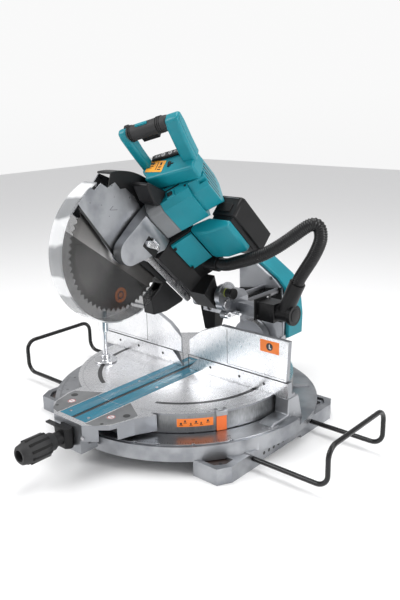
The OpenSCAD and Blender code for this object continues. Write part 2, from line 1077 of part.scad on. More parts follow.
module handle_grip() {
    color("#222222")
    handle()
    difference() {
        rod_x(24, 120, -95, 16, 19);
        block([48, -87, 4], [97, -60, 28]);
        block([50, -130, 10], [98, -108, 20]);
        rod_y(-106, -80, 72, 16, 2.5 + run);
    }
}

module led_wing() {
    color("#222222")
    head()
        slab_x(24, 76, [[-84, 134], [-84, 144], [-24, 164], [-19, 150], [-19, 122], [-40, 118]]);
}

module battery_mount() {
    color("darkcyan")
    head()
        slab_y(92.5, 204, [
            [90.2, 134], [90.2, 150], [130, 176], [196, 176], [196, 160], [150, 134], [112, 127], [99, 129]
        ]);
}

module battery() {
    color("#1c1c1c")
    head() {
        block([132, 100, 176], [194, 252, 190]);
        chamfered([126, 94, 190], [200, 256, 246], 6);
    }
}

module trigger() {
    color("#333333")
    handle() {
        block([50, -79, 6], [95, -69, 26]);
        rod_y(-98, -78, 72, 16, 2.5);
    }
}

module lock_off() {
    color("darkcyan")
    handle()
        block([52, -117, 11.5], [84, -108, 18.5]);
}

module saw_blade() {
    teeth = 60;
    color("lightgray")
    head()
    difference() {
        rotate([90, 0, 90])
            translate([0, 0, -kerf / 2])
                linear_extrude(kerf)
                    polygon([
                        for (i = [0:teeth - 1])
                            for (p = [[0, 0], [0.3, -7], [0.55, -8]])
                                let(a = 360 * (i + p[0]) / teeth, r = blade_r + p[1])
                                [r * cos(a), r * sin(a)]
                    ]);
        rod_x(-5, 5, 0, 0, spindle_r);
    }
}

module spindle() {
    color("silver")
    head() {
        difference() {
            rod_x(-16, 42, 0, 0, spindle_r);
            rod_x(-20, -10, 0, 0, 4);
        }
        for (x = [-7, kerf / 2])
            difference() {
                rod_x(x, x + 7 - kerf / 2, 0, 0, 30);
                rod_x(x - 1, x + 9, 0, 0, spindle_r);
            }
    }
}

base_casting();
scale_plate();
centre_bolt();
fence_lower();
fence_bolts();
vise_post();
holder_left();
holder_right();
vise_arm();
vise_screw();
vise_pad();
fence_upper_left();
fence_upper_right();
fence_knob_left();
fence_knob_right();
turntable();
kerf_board_left();
kerf_board_right();
kerf_screws();
mitre_pointer();
lock_neck();
lock_grip();
detent_lever();
arm_casting();
arm_cover();
arm_face();
slide_rods();
bevel_shaft();
bevel_lever();
carriage();
dust_duct();
pivot_pin();
return_spring();
dust_elbow();
elbow_cap();
arc_cover();
slide_knob();
stop_lever();
dust_hose();
gear_housing();
head_arm();
side_cover();
upper_guard();
guard_cover();
motor_housing();
motor_band();
motor_cap();
handle_body();
handle_grip();
led_wing();
battery_mount();
dust_nozzle();
battery();
trigger();
lock_off();
lower_guard();
guard_link();
saw_blade();
spindle();
motor_rotor();
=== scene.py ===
import json
import math
import bmesh
import bpy
from mathutils import Matrix, Vector

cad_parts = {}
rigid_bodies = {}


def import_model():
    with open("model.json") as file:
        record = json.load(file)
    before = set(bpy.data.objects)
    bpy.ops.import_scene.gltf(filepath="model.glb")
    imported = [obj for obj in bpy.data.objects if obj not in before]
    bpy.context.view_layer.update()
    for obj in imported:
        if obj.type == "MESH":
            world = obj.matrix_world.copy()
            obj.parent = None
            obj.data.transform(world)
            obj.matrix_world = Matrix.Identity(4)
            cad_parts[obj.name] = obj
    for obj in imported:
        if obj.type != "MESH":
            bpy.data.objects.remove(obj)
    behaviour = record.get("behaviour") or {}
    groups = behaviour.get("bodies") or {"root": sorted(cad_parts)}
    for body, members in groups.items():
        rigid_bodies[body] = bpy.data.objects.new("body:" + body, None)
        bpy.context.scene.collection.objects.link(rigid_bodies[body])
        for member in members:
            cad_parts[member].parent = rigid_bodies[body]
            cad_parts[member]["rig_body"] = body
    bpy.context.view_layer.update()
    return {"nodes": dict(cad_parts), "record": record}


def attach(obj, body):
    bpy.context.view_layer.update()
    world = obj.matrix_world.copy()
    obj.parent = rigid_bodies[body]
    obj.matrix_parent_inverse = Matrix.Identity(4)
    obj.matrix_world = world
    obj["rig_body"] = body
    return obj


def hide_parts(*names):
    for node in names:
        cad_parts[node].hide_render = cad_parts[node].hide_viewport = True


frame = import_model()
nodes = frame["nodes"]
mm = 0.001
print("frame loaded,", len(nodes), "nodes")

# ---- camera ----
cameraSettings = {"place": (1.251, -1.336, 0.867), "azimuth": 41.76, "elevation": 16.48, "roll": -1.35, "lens": 41.95}


def addCamera(s):
    a, e, r = (math.radians(s[k]) for k in ("azimuth", "elevation", "roll"))
    back = Vector((math.sin(a) * math.cos(e), -math.cos(a) * math.cos(e), math.sin(e)))
    flat = Vector((math.cos(a), math.sin(a), 0))
    up = back.cross(flat)
    right = flat * math.cos(r) + up * math.sin(r)
    tall = up * math.cos(r) - flat * math.sin(r)
    data = bpy.data.cameras.new("sawCamera")
    data.lens = s["lens"]
    data.sensor_width = 36
    camera = bpy.data.objects.new("sawCamera", data)
    bpy.context.scene.collection.objects.link(camera)
    turn = Matrix((right, tall, back)).transposed().to_4x4()
    camera.matrix_world = Matrix.Translation(s["place"]) @ turn
    bpy.context.scene.camera = camera


addCamera(cameraSettings)
print("camera ready")


# ---- shader maths ----
class Shader:

    def __init__(self, tree, socket=None):
        self.tree = tree
        self.socket = socket

    def node(self, kind, settings=None, sockets=None, out=0):
        made = self.tree.nodes.new(kind)
        for key, value in (settings or {}).items():
            if key == "stops":
                ramp = made.color_ramp
                while len(ramp.elements) < len(value):
                    ramp.elements.new(0.5)
                for stop, (place, colour) in zip(ramp.elements, value):
                    stop.position = place
                    stop.color = colour if len(colour) == 4 else (*colour, 1)
            else:
                setattr(made, key, value)
        for key, value in (sockets or {}).items():
            target = made.inputs[key]
            if isinstance(value, Shader):
                self.tree.links.new(value.socket, target)
            elif hasattr(value, "__len__") and len(value) == 3 and target.type == "RGBA":
                target.default_value = (*value, 1)
            else:
                target.default_value = value
        return Shader(self.tree, made.outputs[out])

    def math(self, operation, a, b=None, clamp=False):
        sockets = {0: a} if b is None else {0: a, 1: b}
        return self.node("ShaderNodeMath", {"operation": operation, "use_clamp": clamp}, sockets)

    def __add__(self, other):
        return self.math("ADD", self, other)

    def __radd__(self, other):
        return self.math("ADD", other, self)

    def __sub__(self, other):
        return self.math("SUBTRACT", self, other)

    def __rsub__(self, other):
        return self.math("SUBTRACT", other, self)

    def __mul__(self, other):
        return self.math("MULTIPLY", self, other)

    def __rmul__(self, other):
        return self.math("MULTIPLY", other, self)

    def __truediv__(self, other):
        return self.math("DIVIDE", self, other)

    def __gt__(self, other):
        return self.math("GREATER_THAN", self, other)

    def __lt__(self, other):
        return self.math("LESS_THAN", self, other)

    def blend(self, a, b, factor):
        return self.node("ShaderNodeMix", {"data_type": "RGBA"}, {0: factor, 6: a, 7: b}, 2)

    def coords(self):
        return self.node("ShaderNodeTexCoord", out="Object")

    def parts(self, vector):
        split = self.node("ShaderNodeSeparateXYZ", sockets={0: vector})
        outs = split.socket.node.outputs
        return [Shader(self.tree, outs[i]) for i in range(3)]

    def placed(self, vector, place=(0, 0, 0), turn=(0, 0, 0), scale=(1, 1, 1), kind="TEXTURE"):
        return self.node("ShaderNodeMapping", {"vector_type": kind},
                         {"Vector": vector, "Location": place, "Rotation": turn, "Scale": scale})

    def noise(self, vector, scale, detail=3.0, roughness=0.5):
        return self.node("ShaderNodeTexNoise", None,
                         {"Vector": vector, "Scale": scale, "Detail": detail, "Roughness": roughness})

    def ramp(self, value, stops):
        return self.node("ShaderNodeValToRGB", {"stops": stops}, {0: value})

    def step(self, value, low, high):
        return self.node("ShaderNodeMapRange", {"interpolation_type": "SMOOTHSTEP"},
                         {"Value": value, "From Min": low, "From Max": high})

    def bump(self, height, strength=0.3, distance=0.001, normal=None):
        sockets = {"Height": height, "Strength": strength, "Distance": distance}
        if normal is not None:
            sockets["Normal"] = normal
        return self.node("ShaderNodeBump", None, sockets)


def newMaterial(name):
    material = bpy.data.materials.new(name)
    material.use_nodes = True
    tree = material.node_tree
    tree.nodes.clear()
    output = tree.nodes.new("ShaderNodeOutputMaterial")
    surface = tree.nodes.new("ShaderNodeBsdfPrincipled")
    tree.links.new(surface.outputs[0], output.inputs[0])
    return material, Shader(tree), surface


def setSurface(shader, surface, **values):
    for key, value in values.items():
        socket = surface.inputs[key.replace("_", " ")]
        if isinstance(value, Shader):
            shader.tree.links.new(value.socket, socket)
        elif hasattr(value, "__len__") and len(value) == 3 and socket.type == "RGBA":
            socket.default_value = (*value, 1)
        else:
            socket.default_value = value


# ---- finishes ----
def metalFinish(name, light, dark, roughness, spread=0.12, grain=900, pits=0.0, metallic=1.0, patch=14):
    material, s, surface = newMaterial(name)
    where = s.coords()
    cloud = s.noise(where, patch, 4)
    fine = s.noise(where, grain, 2)
    height = fine if not pits else fine * 0.6 + s.noise(where, grain * 0.25, 2) * pits
    setSurface(s, surface, Base_Color=s.blend(dark, light, s.step(cloud, 0.3, 0.65)), Metallic=metallic,
               Roughness=roughness + (cloud - 0.5) * spread + (fine - 0.5) * 0.1,
               Normal=s.bump(height, 0.22, 0.0006))
    return material


def plasticFinish(name, light, dark, roughness, grain=1400, relief=0.18, coat=0.0, patch=10, spread=0.12,
                  specular=0.5):
    material, s, surface = newMaterial(name)
    where = s.coords()
    cloud = s.noise(where, patch, 4)
    fine = s.noise(where, grain, 2)
    rub = s.noise(where, 75, 5, 0.65)
    setSurface(s, surface, Base_Color=s.blend(dark, light, s.step(cloud, 0.25, 0.75)), Coat_Weight=coat,
               Coat_Roughness=0.2, Specular_IOR_Level=specular, Roughness=roughness + (cloud - 0.5) * spread + s.step(rub, 0.62, 0.8) * 0.08,
               Normal=s.bump(fine, relief, 0.0005))
    return material


def turnedFinish(name, light, dark, roughness, centre, rings=1400, metallic=1.0):
    material, s, surface = newMaterial(name)
    where = s.coords()
    x, y, z = s.parts(s.placed(where, centre, kind="TEXTURE"))
    radius = s.math("SQRT", x * x + y * y)
    line = s.math("SINE", radius * (rings * 2.0))
    cloud = s.noise(where, 9, 5)
    smear = s.noise(s.placed(where, scale=(0.05, 1, 1)), 70, 3)
    tone = s.step(cloud * 0.7 + smear * 0.3, 0.32, 0.68)
    setSurface(s, surface, Base_Color=s.blend(dark, light, tone), Metallic=metallic,
               Roughness=roughness + (smear - 0.5) * 0.16, Normal=s.bump(line, 0.06, 0.0004))
    return material


def facedFinish(name, facing, light, dark, castShadedLight, castShadedDark):
    material, s, surface = newMaterial(name)
    where = s.coords()
    normal = s.node("ShaderNodeNewGeometry", out="Normal")
    parts = s.parts(normal)
    # faces turned along facing get the light machined colour, partly a painted highlight; the other faces get the
    # darker cast colour, partly painted shade
    machinedAndLitMask = s.step(parts[facing] * (-1 if facing == 1 else 1), 0.75, 0.9)
    cloud = s.noise(where, 9, 5)
    fine = s.noise(where, 800, 2)
    x, y, z = s.parts(where)
    radius = s.math("SQRT", x * x + y * y)
    smear = s.noise(s.placed(where, scale=(0.05, 1, 1)), 70, 3)
    tone = s.step(cloud * 0.7 + smear * 0.3, 0.32, 0.68)
    setSurface(s, surface, Base_Color=s.blend(s.blend(castShadedDark, castShadedLight, cloud), s.blend(dark, light, tone), machinedAndLitMask),
               Metallic=0.95, Roughness=0.42 - machinedAndLitMask * 0.14 + (smear - 0.5) * 0.14,
               Normal=s.bump(fine * (1 - machinedAndLitMask * 0.8) + s.math("SINE", radius * 2800) * 0.15, 0.16, 0.0005))
    return material


finishes = {
    "cast_silver": metalFinish("castSilver", (0.42, 0.43, 0.45), (0.26, 0.27, 0.29), 0.38, pits=0.6, grain=700),
    # table top lighter than its sides: machined finish, partly a painted highlight, with painted shade on the sides
    "table_silver": facedFinish("tableSilver", 2, (0.86, 0.86, 0.87), (0.70, 0.71, 0.73), (0.36, 0.37, 0.39),
                                (0.24, 0.25, 0.27)),
    "scale_steel": metalFinish("scaleSteel", (0.48, 0.49, 0.51), (0.34, 0.35, 0.37), 0.30, grain=1200),
    "steel": metalFinish("brightSteel", (0.72, 0.72, 0.73), (0.50, 0.50, 0.52), 0.26, grain=1500),
    "chrome": metalFinish("chrome", (0.88, 0.88, 0.89), (0.74, 0.75, 0.77), 0.10, spread=0.06, grain=1500),
    "dark_steel": metalFinish("darkSteel", (0.24, 0.24, 0.25), (0.13, 0.13, 0.14), 0.32, grain=1300),
    "black_rod": plasticFinish("blackRod", (0.012, 0.012, 0.013), (0.006, 0.006, 0.006), 0.26, coat=0.1, relief=0.1, specular=0.35),
    "black_cast": plasticFinish("blackCast", (0.012, 0.012, 0.013), (0.005, 0.005, 0.005), 0.40, grain=650, relief=0.35, specular=0.25),
    "teal_plastic": plasticFinish("tealPlastic", (0.006, 0.235, 0.290), (0.003, 0.185, 0.232), 0.34, specular=0.4),
    "grey_band": plasticFinish("greyBand", (0.20, 0.21, 0.22), (0.13, 0.135, 0.14), 0.42),
    "black_plastic": plasticFinish("blackPlastic", (0.010, 0.010, 0.011), (0.004, 0.004, 0.004), 0.36, specular=0.28),
    "black_rubber": plasticFinish("blackRubber", (0.012, 0.012, 0.012), (0.006, 0.006, 0.006), 0.58, grain=800, relief=0.5, specular=0.25),
    "hose_rubber": plasticFinish("hoseRubber", (0.010, 0.010, 0.011), (0.004, 0.004, 0.004), 0.30, grain=900, specular=0.35),
    "board_blue": plasticFinish("boardBlue", (0.004, 0.180, 0.270), (0.002, 0.130, 0.205), 0.22, coat=0.3),
    "orange_plastic": plasticFinish("orangePlastic", (0.95, 0.20, 0.035), (0.80, 0.14, 0.02), 0.38, coat=0.2),
    "blade_steel": metalFinish("bladeSteel", (0.50, 0.50, 0.51), (0.36, 0.36, 0.37), 0.30, grain=1500),
}
material, s, surface = newMaterial("clearPlastic")
where = s.coords()
smudge = s.noise(where, 16, 5)
setSurface(s, surface, Base_Color=(0.93, 0.95, 0.96), Roughness=0.06 + s.step(smudge, 0.5, 0.8) * 0.10,
           Transmission_Weight=1.0, IOR=1.12, Normal=s.bump(smudge, 0.04, 0.001))
finishes["clear_plastic"] = material
print("finishes made,", len(finishes))

# ---- making pieces ----
headFrame = (Matrix.Translation((0, 0.044, 0.324)) @ Matrix.Rotation(math.radians(-43.7), 4, "X")
             @ Matrix.Translation((0, -0.323, -0.054)))
handleFrame = headFrame @ Matrix.Translation((0, -0.062, 0.200)) @ Matrix.Rotation(math.radians(-21), 4, "Y")
motorFrame = headFrame @ Matrix.Translation((0.011, 0.037, 0.135)) @ Matrix.Rotation(math.radians(48), 4, "Y")
nodeSlot = {row["node"]: row["material_slot"] for row in frame["record"]["subparts"]}


def keepPiece(piece, body, finish, replaces=()):
    piece.data.materials.clear()
    piece.data.materials.append(finish if not isinstance(finish, str) else finishes[finish])
    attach(piece, body)
    if replaces:
        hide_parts(*replaces)
    return piece


def newPiece(name, bm, body, finish, place=None, replaces=(), angle=32, bevel=0.0, segments=2, subdivide=0,
             recalc=True):
    if recalc:
        bmesh.ops.recalc_face_normals(bm, faces=bm.faces)
    mesh = bpy.data.meshes.new(name)
    if place is not None:
        bmesh.ops.transform(bm, matrix=place, verts=bm.verts)
    bm.to_mesh(mesh)
    bm.free()
    for face in mesh.polygons:
        face.use_smooth = True
    piece = bpy.data.objects.new(name, mesh)
    bpy.context.scene.collection.objects.link(piece)
    if bevel:
        addBevel(piece, bevel, segments, angle)
    if subdivide:
        smooth = piece.modifiers.new("round", "SUBSURF")
        smooth.levels = subdivide
        smooth.render_levels = subdivide
    else:
        mesh.set_sharp_from_angle(angle=math.radians(angle))
    return keepPiece(piece, body, finish, replaces)


def addBevel(piece, width, segments=2, angle=32):
    bevel = piece.modifiers.new("edges", "BEVEL")
    bevel.width = width
    bevel.segments = segments
    bevel.limit_method = "ANGLE"
    bevel.angle_limit = math.radians(angle)
    bevel.harden_normals = False
    return bevel


def refine(name, bevel=0.0012, segments=2, angle=32, finish=None, bodyName=None):
    source = nodes[name]
    bm = bmesh.new()
    bm.from_mesh(source.data)
    bmesh.ops.remove_doubles(bm, verts=bm.verts, dist=0.00002)
    bmesh.ops.dissolve_limit(bm, angle_limit=math.radians(0.6), verts=bm.verts, edges=bm.edges)
    mesh = bpy.data.meshes.new(name + "_fine")
    bm.to_mesh(mesh)
    bm.free()
    for face in mesh.polygons:
        face.use_smooth = True
    mesh.set_sharp_from_angle(angle=math.radians(angle))
    piece = bpy.data.objects.new(name + "_fine", mesh)
    bpy.context.scene.collection.objects.link(piece)
    if bevel:
        addBevel(piece, bevel, segments, angle)
    slot = nodeSlot.get(name)
    return keepPiece(piece, source["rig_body"], finish or slot, (name,))


# ---- dust hose ----
hose = {"radius": 0.0168, "groove": 0.0016, "pitch": 0.0052, "sides": 28, "body": "carriage"}
sleeveDir = Vector((math.sin(math.radians(24)), 0, math.cos(math.radians(24))))
sleeveFrom = Vector((0.258, 0.110, 0.3175))
hoseTo = sleeveFrom + sleeveDir * 0.088
hoseFrom = headFrame @ Vector((0.108, 0.230, 0.124))
hosePoints = [hoseFrom, hoseFrom + Vector((0.014, 0, 0)), (0.140, 0.024, 0.442), (0.170, 0.025, 0.452),
              (0.207, 0.030, 0.465), (0.242, 0.040, 0.480), (0.271, 0.054, 0.499), (0.297, 0.068, 0.520),
              (0.320, 0.080, 0.540), (0.338, 0.090, 0.554), (0.352, 0.098, 0.556), (0.360, 0.104, 0.544),
              (0.360, 0.108, 0.520), (0.349, 0.110, 0.492), (0.334, 0.110, 0.464), (0.317, 0.110, 0.438),
              hoseTo + sleeveDir * 0.014, hoseTo]
hosePoints = [Vector(p) for p in hosePoints]


def smoothRoute(points, spacing):
    dense = []
    last = len(points) - 1
    for i in range(last):
        p0, p1, p2, p3 = points[max(i - 1, 0)], points[i], points[i + 1], points[min(i + 2, last)]
        for k in range(24):
            t = k / 24
            dense.append(0.5 * ((2 * p1) + (p2 - p0) * t + (2 * p0 - 5 * p1 + 4 * p2 - p3) * t * t
                                + (3 * p1 - p0 - 3 * p2 + p3) * t ** 3))
    dense.append(points[-1])
    for turn in range(40):  # eases the bends, ends held
        dense = [dense[0], dense[1]] + [(dense[i - 1] + dense[i] * 2 + dense[i + 1]) / 4
                                        for i in range(2, len(dense) - 2)] + [dense[-2], dense[-1]]
    lengths = [0.0]
    for a, b in zip(dense, dense[1:]):
        lengths.append(lengths[-1] + (b - a).length)
    total = lengths[-1]
    count = max(2, round(total / spacing))
    route, j = [], 0
    for i in range(count + 1):
        want = total * i / count
        while j < len(lengths) - 2 and lengths[j + 1] < want:
            j += 1
        share = (want - lengths[j]) / max(lengths[j + 1] - lengths[j], 1e-9)
        route.append(dense[j].lerp(dense[j + 1], min(max(share, 0), 1)))
    return route, total


def tubeAlong(bm, route, radii, sides):
    circle = bmesh.ops.create_circle(bm, cap_ends=True, segments=sides, radius=radii[0])
    verts = circle["verts"]
    ahead = (route[1] - route[0]).normalized()
    turn = ahead.to_track_quat("Z", "Y").to_matrix()
    bmesh.ops.transform(bm, matrix=Matrix.Translation(route[0]) @ turn.to_4x4(), verts=verts)
    face = next(f for f in bm.faces)
    start = face
    for i in range(1, len(route)):
        grown = bmesh.ops.extrude_discrete_faces(bm, faces=[face]) if False else bmesh.ops.extrude_face_region(bm, geom=[face])
        verts = [g for g in grown["geom"] if isinstance(g, bmesh.types.BMVert)]
        new = next(g for g in grown["geom"] if isinstance(g, bmesh.types.BMFace))
        if face is not start and face.is_valid:
            bmesh.ops.delete(bm, geom=[face], context="FACES_ONLY")
        direction = (route[min(i + 1, len(route) - 1)] - route[i - 1]).normalized()
        swing = ahead.rotation_difference(direction).to_matrix().to_4x4()
        ahead = direction
        scale = Matrix.Scale(radii[i] / radii[i - 1], 4)
        move = Matrix.Translation(route[i]) @ scale @ swing @ Matrix.Translation(-route[i - 1])
        bmesh.ops.transform(bm, matrix=move, verts=verts)
        face = new
    return bm


route, hoseLength = smoothRoute(hosePoints, hose["pitch"] / 4)
wave = [0.0, 1.0, 1.0, 0.0]
hoseRadii = [hose["radius"] - (0.0 if i % 4 in (1, 2) else hose["groove"]) for i in range(len(route))]
bm = bmesh.new()
tubeAlong(bm, route, hoseRadii, hose["sides"])
hosePiece = newPiece("dustHose", bm, "carriage", "hose_rubber", replaces=("dust_hose",), angle=180)
[tuple(p) for p in route[::4]] + [tuple(route[-1])]
print("hose made, length", round(hoseLength, 3))

# ---- shapes in millimetres, on a local frame ----
small = Matrix.Scale(mm, 4)
headPlace = headFrame @ small
handlePlace = handleFrame @ small
motorPlace = motorFrame @ small


def block(bm, low, high, turn=None):
    low, high = Vector(low), Vector(high)
    size = Matrix.Diagonal((*(high - low), 1))
    place = Matrix.Translation((low + high) / 2)
    made = bmesh.ops.create_cube(bm, size=1, matrix=place @ (turn or Matrix.Identity(4)) @ size)
    return made["verts"]


def rod(bm, a, b, radius, tip=None, sides=32):
    a, b = Vector(a), Vector(b)
    turn = (b - a).to_track_quat("Z", "Y").to_matrix().to_4x4()
    made = bmesh.ops.create_cone(bm, cap_ends=True, segments=sides, radius1=radius,
                                 radius2=radius if tip is None else tip, depth=(b - a).length,
                                 matrix=Matrix.Translation((a + b) / 2) @ turn)
    return made["verts"]


def outline(bm, points, axis, start, end):
    order = {"x": lambda p, t: (t, p[0], p[1]), "y": lambda p, t: (p[0], t, p[1]), "z": lambda p, t: (p[0], p[1], t)}[axis]
    verts = [bm.verts.new(order(p, start)) for p in points]
    face = bm.faces.new(verts)
    grown = bmesh.ops.extrude_face_region(bm, geom=[face])
    moved = [g for g in grown["geom"] if isinstance(g, bmesh.types.BMVert)]
    step = {"x": (end - start, 0, 0), "y": (0, end - start, 0), "z": (0, 0, end - start)}[axis]
    bmesh.ops.translate(bm, vec=step, verts=moved)
    return verts + moved


def spun(bm, profile, centre, axis, sides=48, angle=360, closed=True):
    axis = Vector(axis).normalized()
    turn = axis.to_track_quat("Z", "Y").to_matrix().to_4x4()
    place = Matrix.Translation(centre) @ turn
    verts = [bm.verts.new(place @ Vector((r, 0, t))) for r, t in profile]
    edges = [bm.edges.new(pair) for pair in zip(verts, verts[1:])]
    if closed:
        edges.append(bm.edges.new((verts[-1], verts[0])))
    full = abs(angle - 360) < 0.01
    made = bmesh.ops.spin(bm, geom=verts + edges, cent=centre, axis=axis, angle=math.radians(angle),
                          steps=sides, use_merge=full)
    bmesh.ops.remove_doubles(bm, verts=bm.verts, dist=0.0005)
    return made


def screwHead(bm, place, axis, radius=3.0, height=1.6):
    axis = Vector(axis).normalized()
    place = Vector(place)
    spun(bm, [(0, 0), (radius, 0), (radius, height * 0.6), (radius * 0.8, height), (radius * 0.45, height),
              (radius * 0.4, height * 0.35), (0, height * 0.35)], place, axis, 20, closed=False)


def bolt(bm, place, axis, radius=5.0, height=4.0):
    axis = Vector(axis).normalized()
    place = Vector(place)
    rod(bm, place, place + axis * height * 0.25, radius * 1.35, sides=28)
    rod(bm, place + axis * height * 0.25, place + axis * height, radius, radius * 0.92, sides=6)


def movedBy(bm, before, matrix):
    bmesh.ops.transform(bm, matrix=matrix, verts=[v for v in bm.verts if v not in before])


# ---- carried-over nodes ----
special = {"dust_hose", "saw_blade", "lower_guard", "handle_body", "handle_grip", "lock_grip", "return_spring",
           "upper_guard", "guard_link", "arm_casting", "arm_cover"}
widths = {"base_casting": 0.0022, "turntable": 0.0010, "carriage": 0.0025, "gear_housing": 0.005, "head_arm": 0.003,
          "arm_casting": 0.004, "arm_cover": 0.003, "motor_housing": 0.004, "motor_band": 0.004, "motor_cap": 0.005,
          "led_wing": 0.004, "battery_mount": 0.004, "battery": 0.003,
          "lock_neck": 0.003, "dust_nozzle": 0.002, "dust_elbow": 0.002, "vise_arm": 0.003, "guard_cover": 0.0006,
          "upper_guard": 0.0006, "kerf_screws": 0.0002,
          "scale_plate": 0.0004, "kerf_board_left": 0.0008, "kerf_board_right": 0.0008, "dust_duct": 0.001,
          "detent_lever": 0.0012, "spindle": 0.0006, "mitre_pointer": 0.0006}


# ---- finishes for one piece each ----
def bladeFinish():
    material, s, surface = newMaterial("bladeGroundPaintedSheen")
    where = s.placed(s.coords(), (0, -0.2268, 0.5081), kind="TEXTURE")
    x, y, z = s.parts(where)
    radius = s.math("SQRT", y * y + z * z)
    angle = s.math("ARCTAN2", z, y)
    # waves around the axis brighten and darken sectors of the blade: painted highlights and reflections of its sheen
    broadSheen = s.math("SINE", angle * 2 + 0.9) * 0.5 + 0.5
    narrowSheen = s.math("SINE", angle * 5 + 1.3) * 0.5 + 0.5
    lines = s.math("SINE", radius * 2400.0)
    grain = s.noise(where, 600, 3)
    # tone is darker beyond 60 mm and beyond about 130 mm from the centre
    inner = s.step(radius, 0.060, 0.062)
    outer = s.step(radius, 0.128, 0.140)
    tone = s.math("POWER", broadSheen, 2.2) * 0.85 + narrowSheen * 0.12 + (grain - 0.5) * 0.1
    tone = tone * (1 - inner * 0.18) * (1 - outer * 0.25)
    setSurface(s, surface, Base_Color=s.blend((0.035, 0.033, 0.032), (0.72, 0.71, 0.70), tone), Metallic=0.85,
               Roughness=0.30 + grain * 0.12, Normal=s.bump(lines, 0.02, 0.0002))
    return material


def guardFinish():
    material, s, surface = newMaterial("guardClear")
    where = s.placed(s.coords(), (0, -0.2268, 0.5081), kind="TEXTURE")
    x, y, z = s.parts(where)
    radius = s.math("SQRT", y * y + z * z)
    rim = s.step(radius, 0.1755, 0.1772)
    smear = s.noise(s.placed(where, scale=(1, 0.3, 1)), 22, 4)
    angle = s.math("ARCTAN2", z, y)
    # bands around the rim between grey and near white: painted highlights on the clear rim
    rimHighlightBands = s.step(s.math("SINE", angle * 9 + s.noise(where, 8) * 4), -0.2, 0.4)
    setSurface(s, surface, Base_Color=s.blend((0.10, 0.105, 0.11), s.blend((0.30, 0.31, 0.32), (0.92, 0.93, 0.94), rimHighlightBands), rim),
               Alpha=0.30 + rim * 0.45 + s.step(smear, 0.55, 0.75) * 0.07, Roughness=0.07 + smear * 0.10,
               Coat_Weight=0.5, Normal=s.bump(smear, 0.05, 0.001))
    return material


def gripFinish():
    material, s, surface = newMaterial("gripRubber")
    where = s.coords()
    dots = s.node("ShaderNodeTexVoronoi", {"feature": "F1"}, {"Vector": where, "Scale": 520, "Randomness": 0.15})
    cloud = s.noise(where, 18, 4)
    setSurface(s, surface, Base_Color=s.blend((0.010, 0.010, 0.011), (0.026, 0.026, 0.027), cloud),
               Roughness=0.52 + cloud * 0.16, Normal=s.bump(dots, 0.35, 0.0006))
    return material


def labelFinish(name, light, dark):
    material, s, surface = newMaterial(name)
    cloud = s.noise(s.coords(), 60, 4)
    setSurface(s, surface, Base_Color=s.blend(dark, light, cloud), Roughness=0.32 + cloud * 0.12, Coat_Weight=0.3,
               Normal=s.bump(s.noise(s.coords(), 800, 2), 0.08, 0.0003))
    return material


bladeGroundPaintedSheen = bladeFinish()
guardClear = guardFinish()
smokedClear, s, surface = newMaterial("smokedClear")
smudge = s.noise(s.coords(), 14, 5)
setSurface(s, surface, Base_Color=s.blend((0.012, 0.012, 0.012), (0.030, 0.030, 0.031), smudge),
           Alpha=0.42 + (smudge - 0.5) * 0.25, Roughness=0.10 + smudge * 0.12, Normal=s.bump(smudge, 0.05, 0.001))
gripRubber = gripFinish()
labelOrange = labelFinish("labelOrange", (1.0, 0.26, 0.035), (0.90, 0.20, 0.02))
labelYellow = labelFinish("labelYellow", (1.0, 0.46, 0.06), (0.92, 0.36, 0.03))
# black for print and marks, also used as painted shade in the kerf slot and the mitre slots
inkAndShadeBlack = labelFinish("inkAndShadeBlack", (0.020, 0.020, 0.021), (0.010, 0.010, 0.011))
inkWhite = labelFinish("inkWhite", (0.80, 0.80, 0.80), (0.62, 0.62, 0.63))
inkGreen = labelFinish("levelGreen", (0.55, 0.62, 0.10), (0.38, 0.46, 0.05))
footBrown = labelFinish("footRecess", (0.060, 0.042, 0.036), (0.030, 0.020, 0.018))
insetGrey = metalFinish("insetGrey", (0.26, 0.265, 0.27), (0.17, 0.175, 0.18), 0.42, metallic=0.6)
# dark metal for the band on the turntable side: painted shade and reflection
sideShadeGrey = turnedFinish("tableSideShade", (0.34, 0.345, 0.35), (0.15, 0.155, 0.16), 0.32, (0, 0, 0), metallic=0.9)

# front faces of the fences lighter than the others: machined finish, partly a painted highlight, with painted shade on
# the other faces
fenceFace = facedFinish("fenceFace", 1, (0.88, 0.88, 0.89), (0.74, 0.75, 0.77), (0.40, 0.41, 0.43), (0.28, 0.29, 0.31))
for name in nodes:
    if name not in special:
        refine(name, widths.get(name, 0.0012), finish=fenceFace if name.startswith("fence_") and "knob" not in name else None)
print("nodes refined")

# ---- blade ----
blade = {"teeth": 60, "radius": 152.5, "tip": (2.2, 3.4)}
source = nodes["saw_blade"]
bladePiece = refine("saw_blade", 0.0, finish=bladeGroundPaintedSheen)
bm = bmesh.new()
for i in range(blade["teeth"]):
    a = math.radians(360 * i / blade["teeth"])
    seat = Matrix.Rotation(a, 4, "X")
    tip = block(bm, (-1.15, 147.2, -2.3), (1.15, 151.9, -0.4))
    bmesh.ops.transform(bm, matrix=seat, verts=tip)
newPiece("toothTips", bm, "blade", "steel", headPlace)
bm = bmesh.new()
for i in range(4):
    seat = Matrix.Rotation(math.radians(90 * i + 28), 4, "X")
    before = set(bm.verts)
    for k in range(5):
        block(bm, (1.18, 118 + 4 * k, -0.5 + 0.5 * k), (1.24, 122.4 + 4 * k, 0.6 + 0.5 * k))
    rod(bm, (1.18, 116.5, 0), (1.24, 116.5, 0), 1.9, sides=16)
    movedBy(bm, before, seat)
newPiece("expansionSlots", bm, "blade", inkAndShadeBlack, headPlace)
markAt = Vector((0, 77, -84))
bm = bmesh.new()
rod(bm, (1.20, markAt.y, markAt.z), (1.26, markAt.y, markAt.z), 19, sides=40)
newPiece("bladeMark", bm, "blade", labelOrange, headPlace)
bm = bmesh.new()
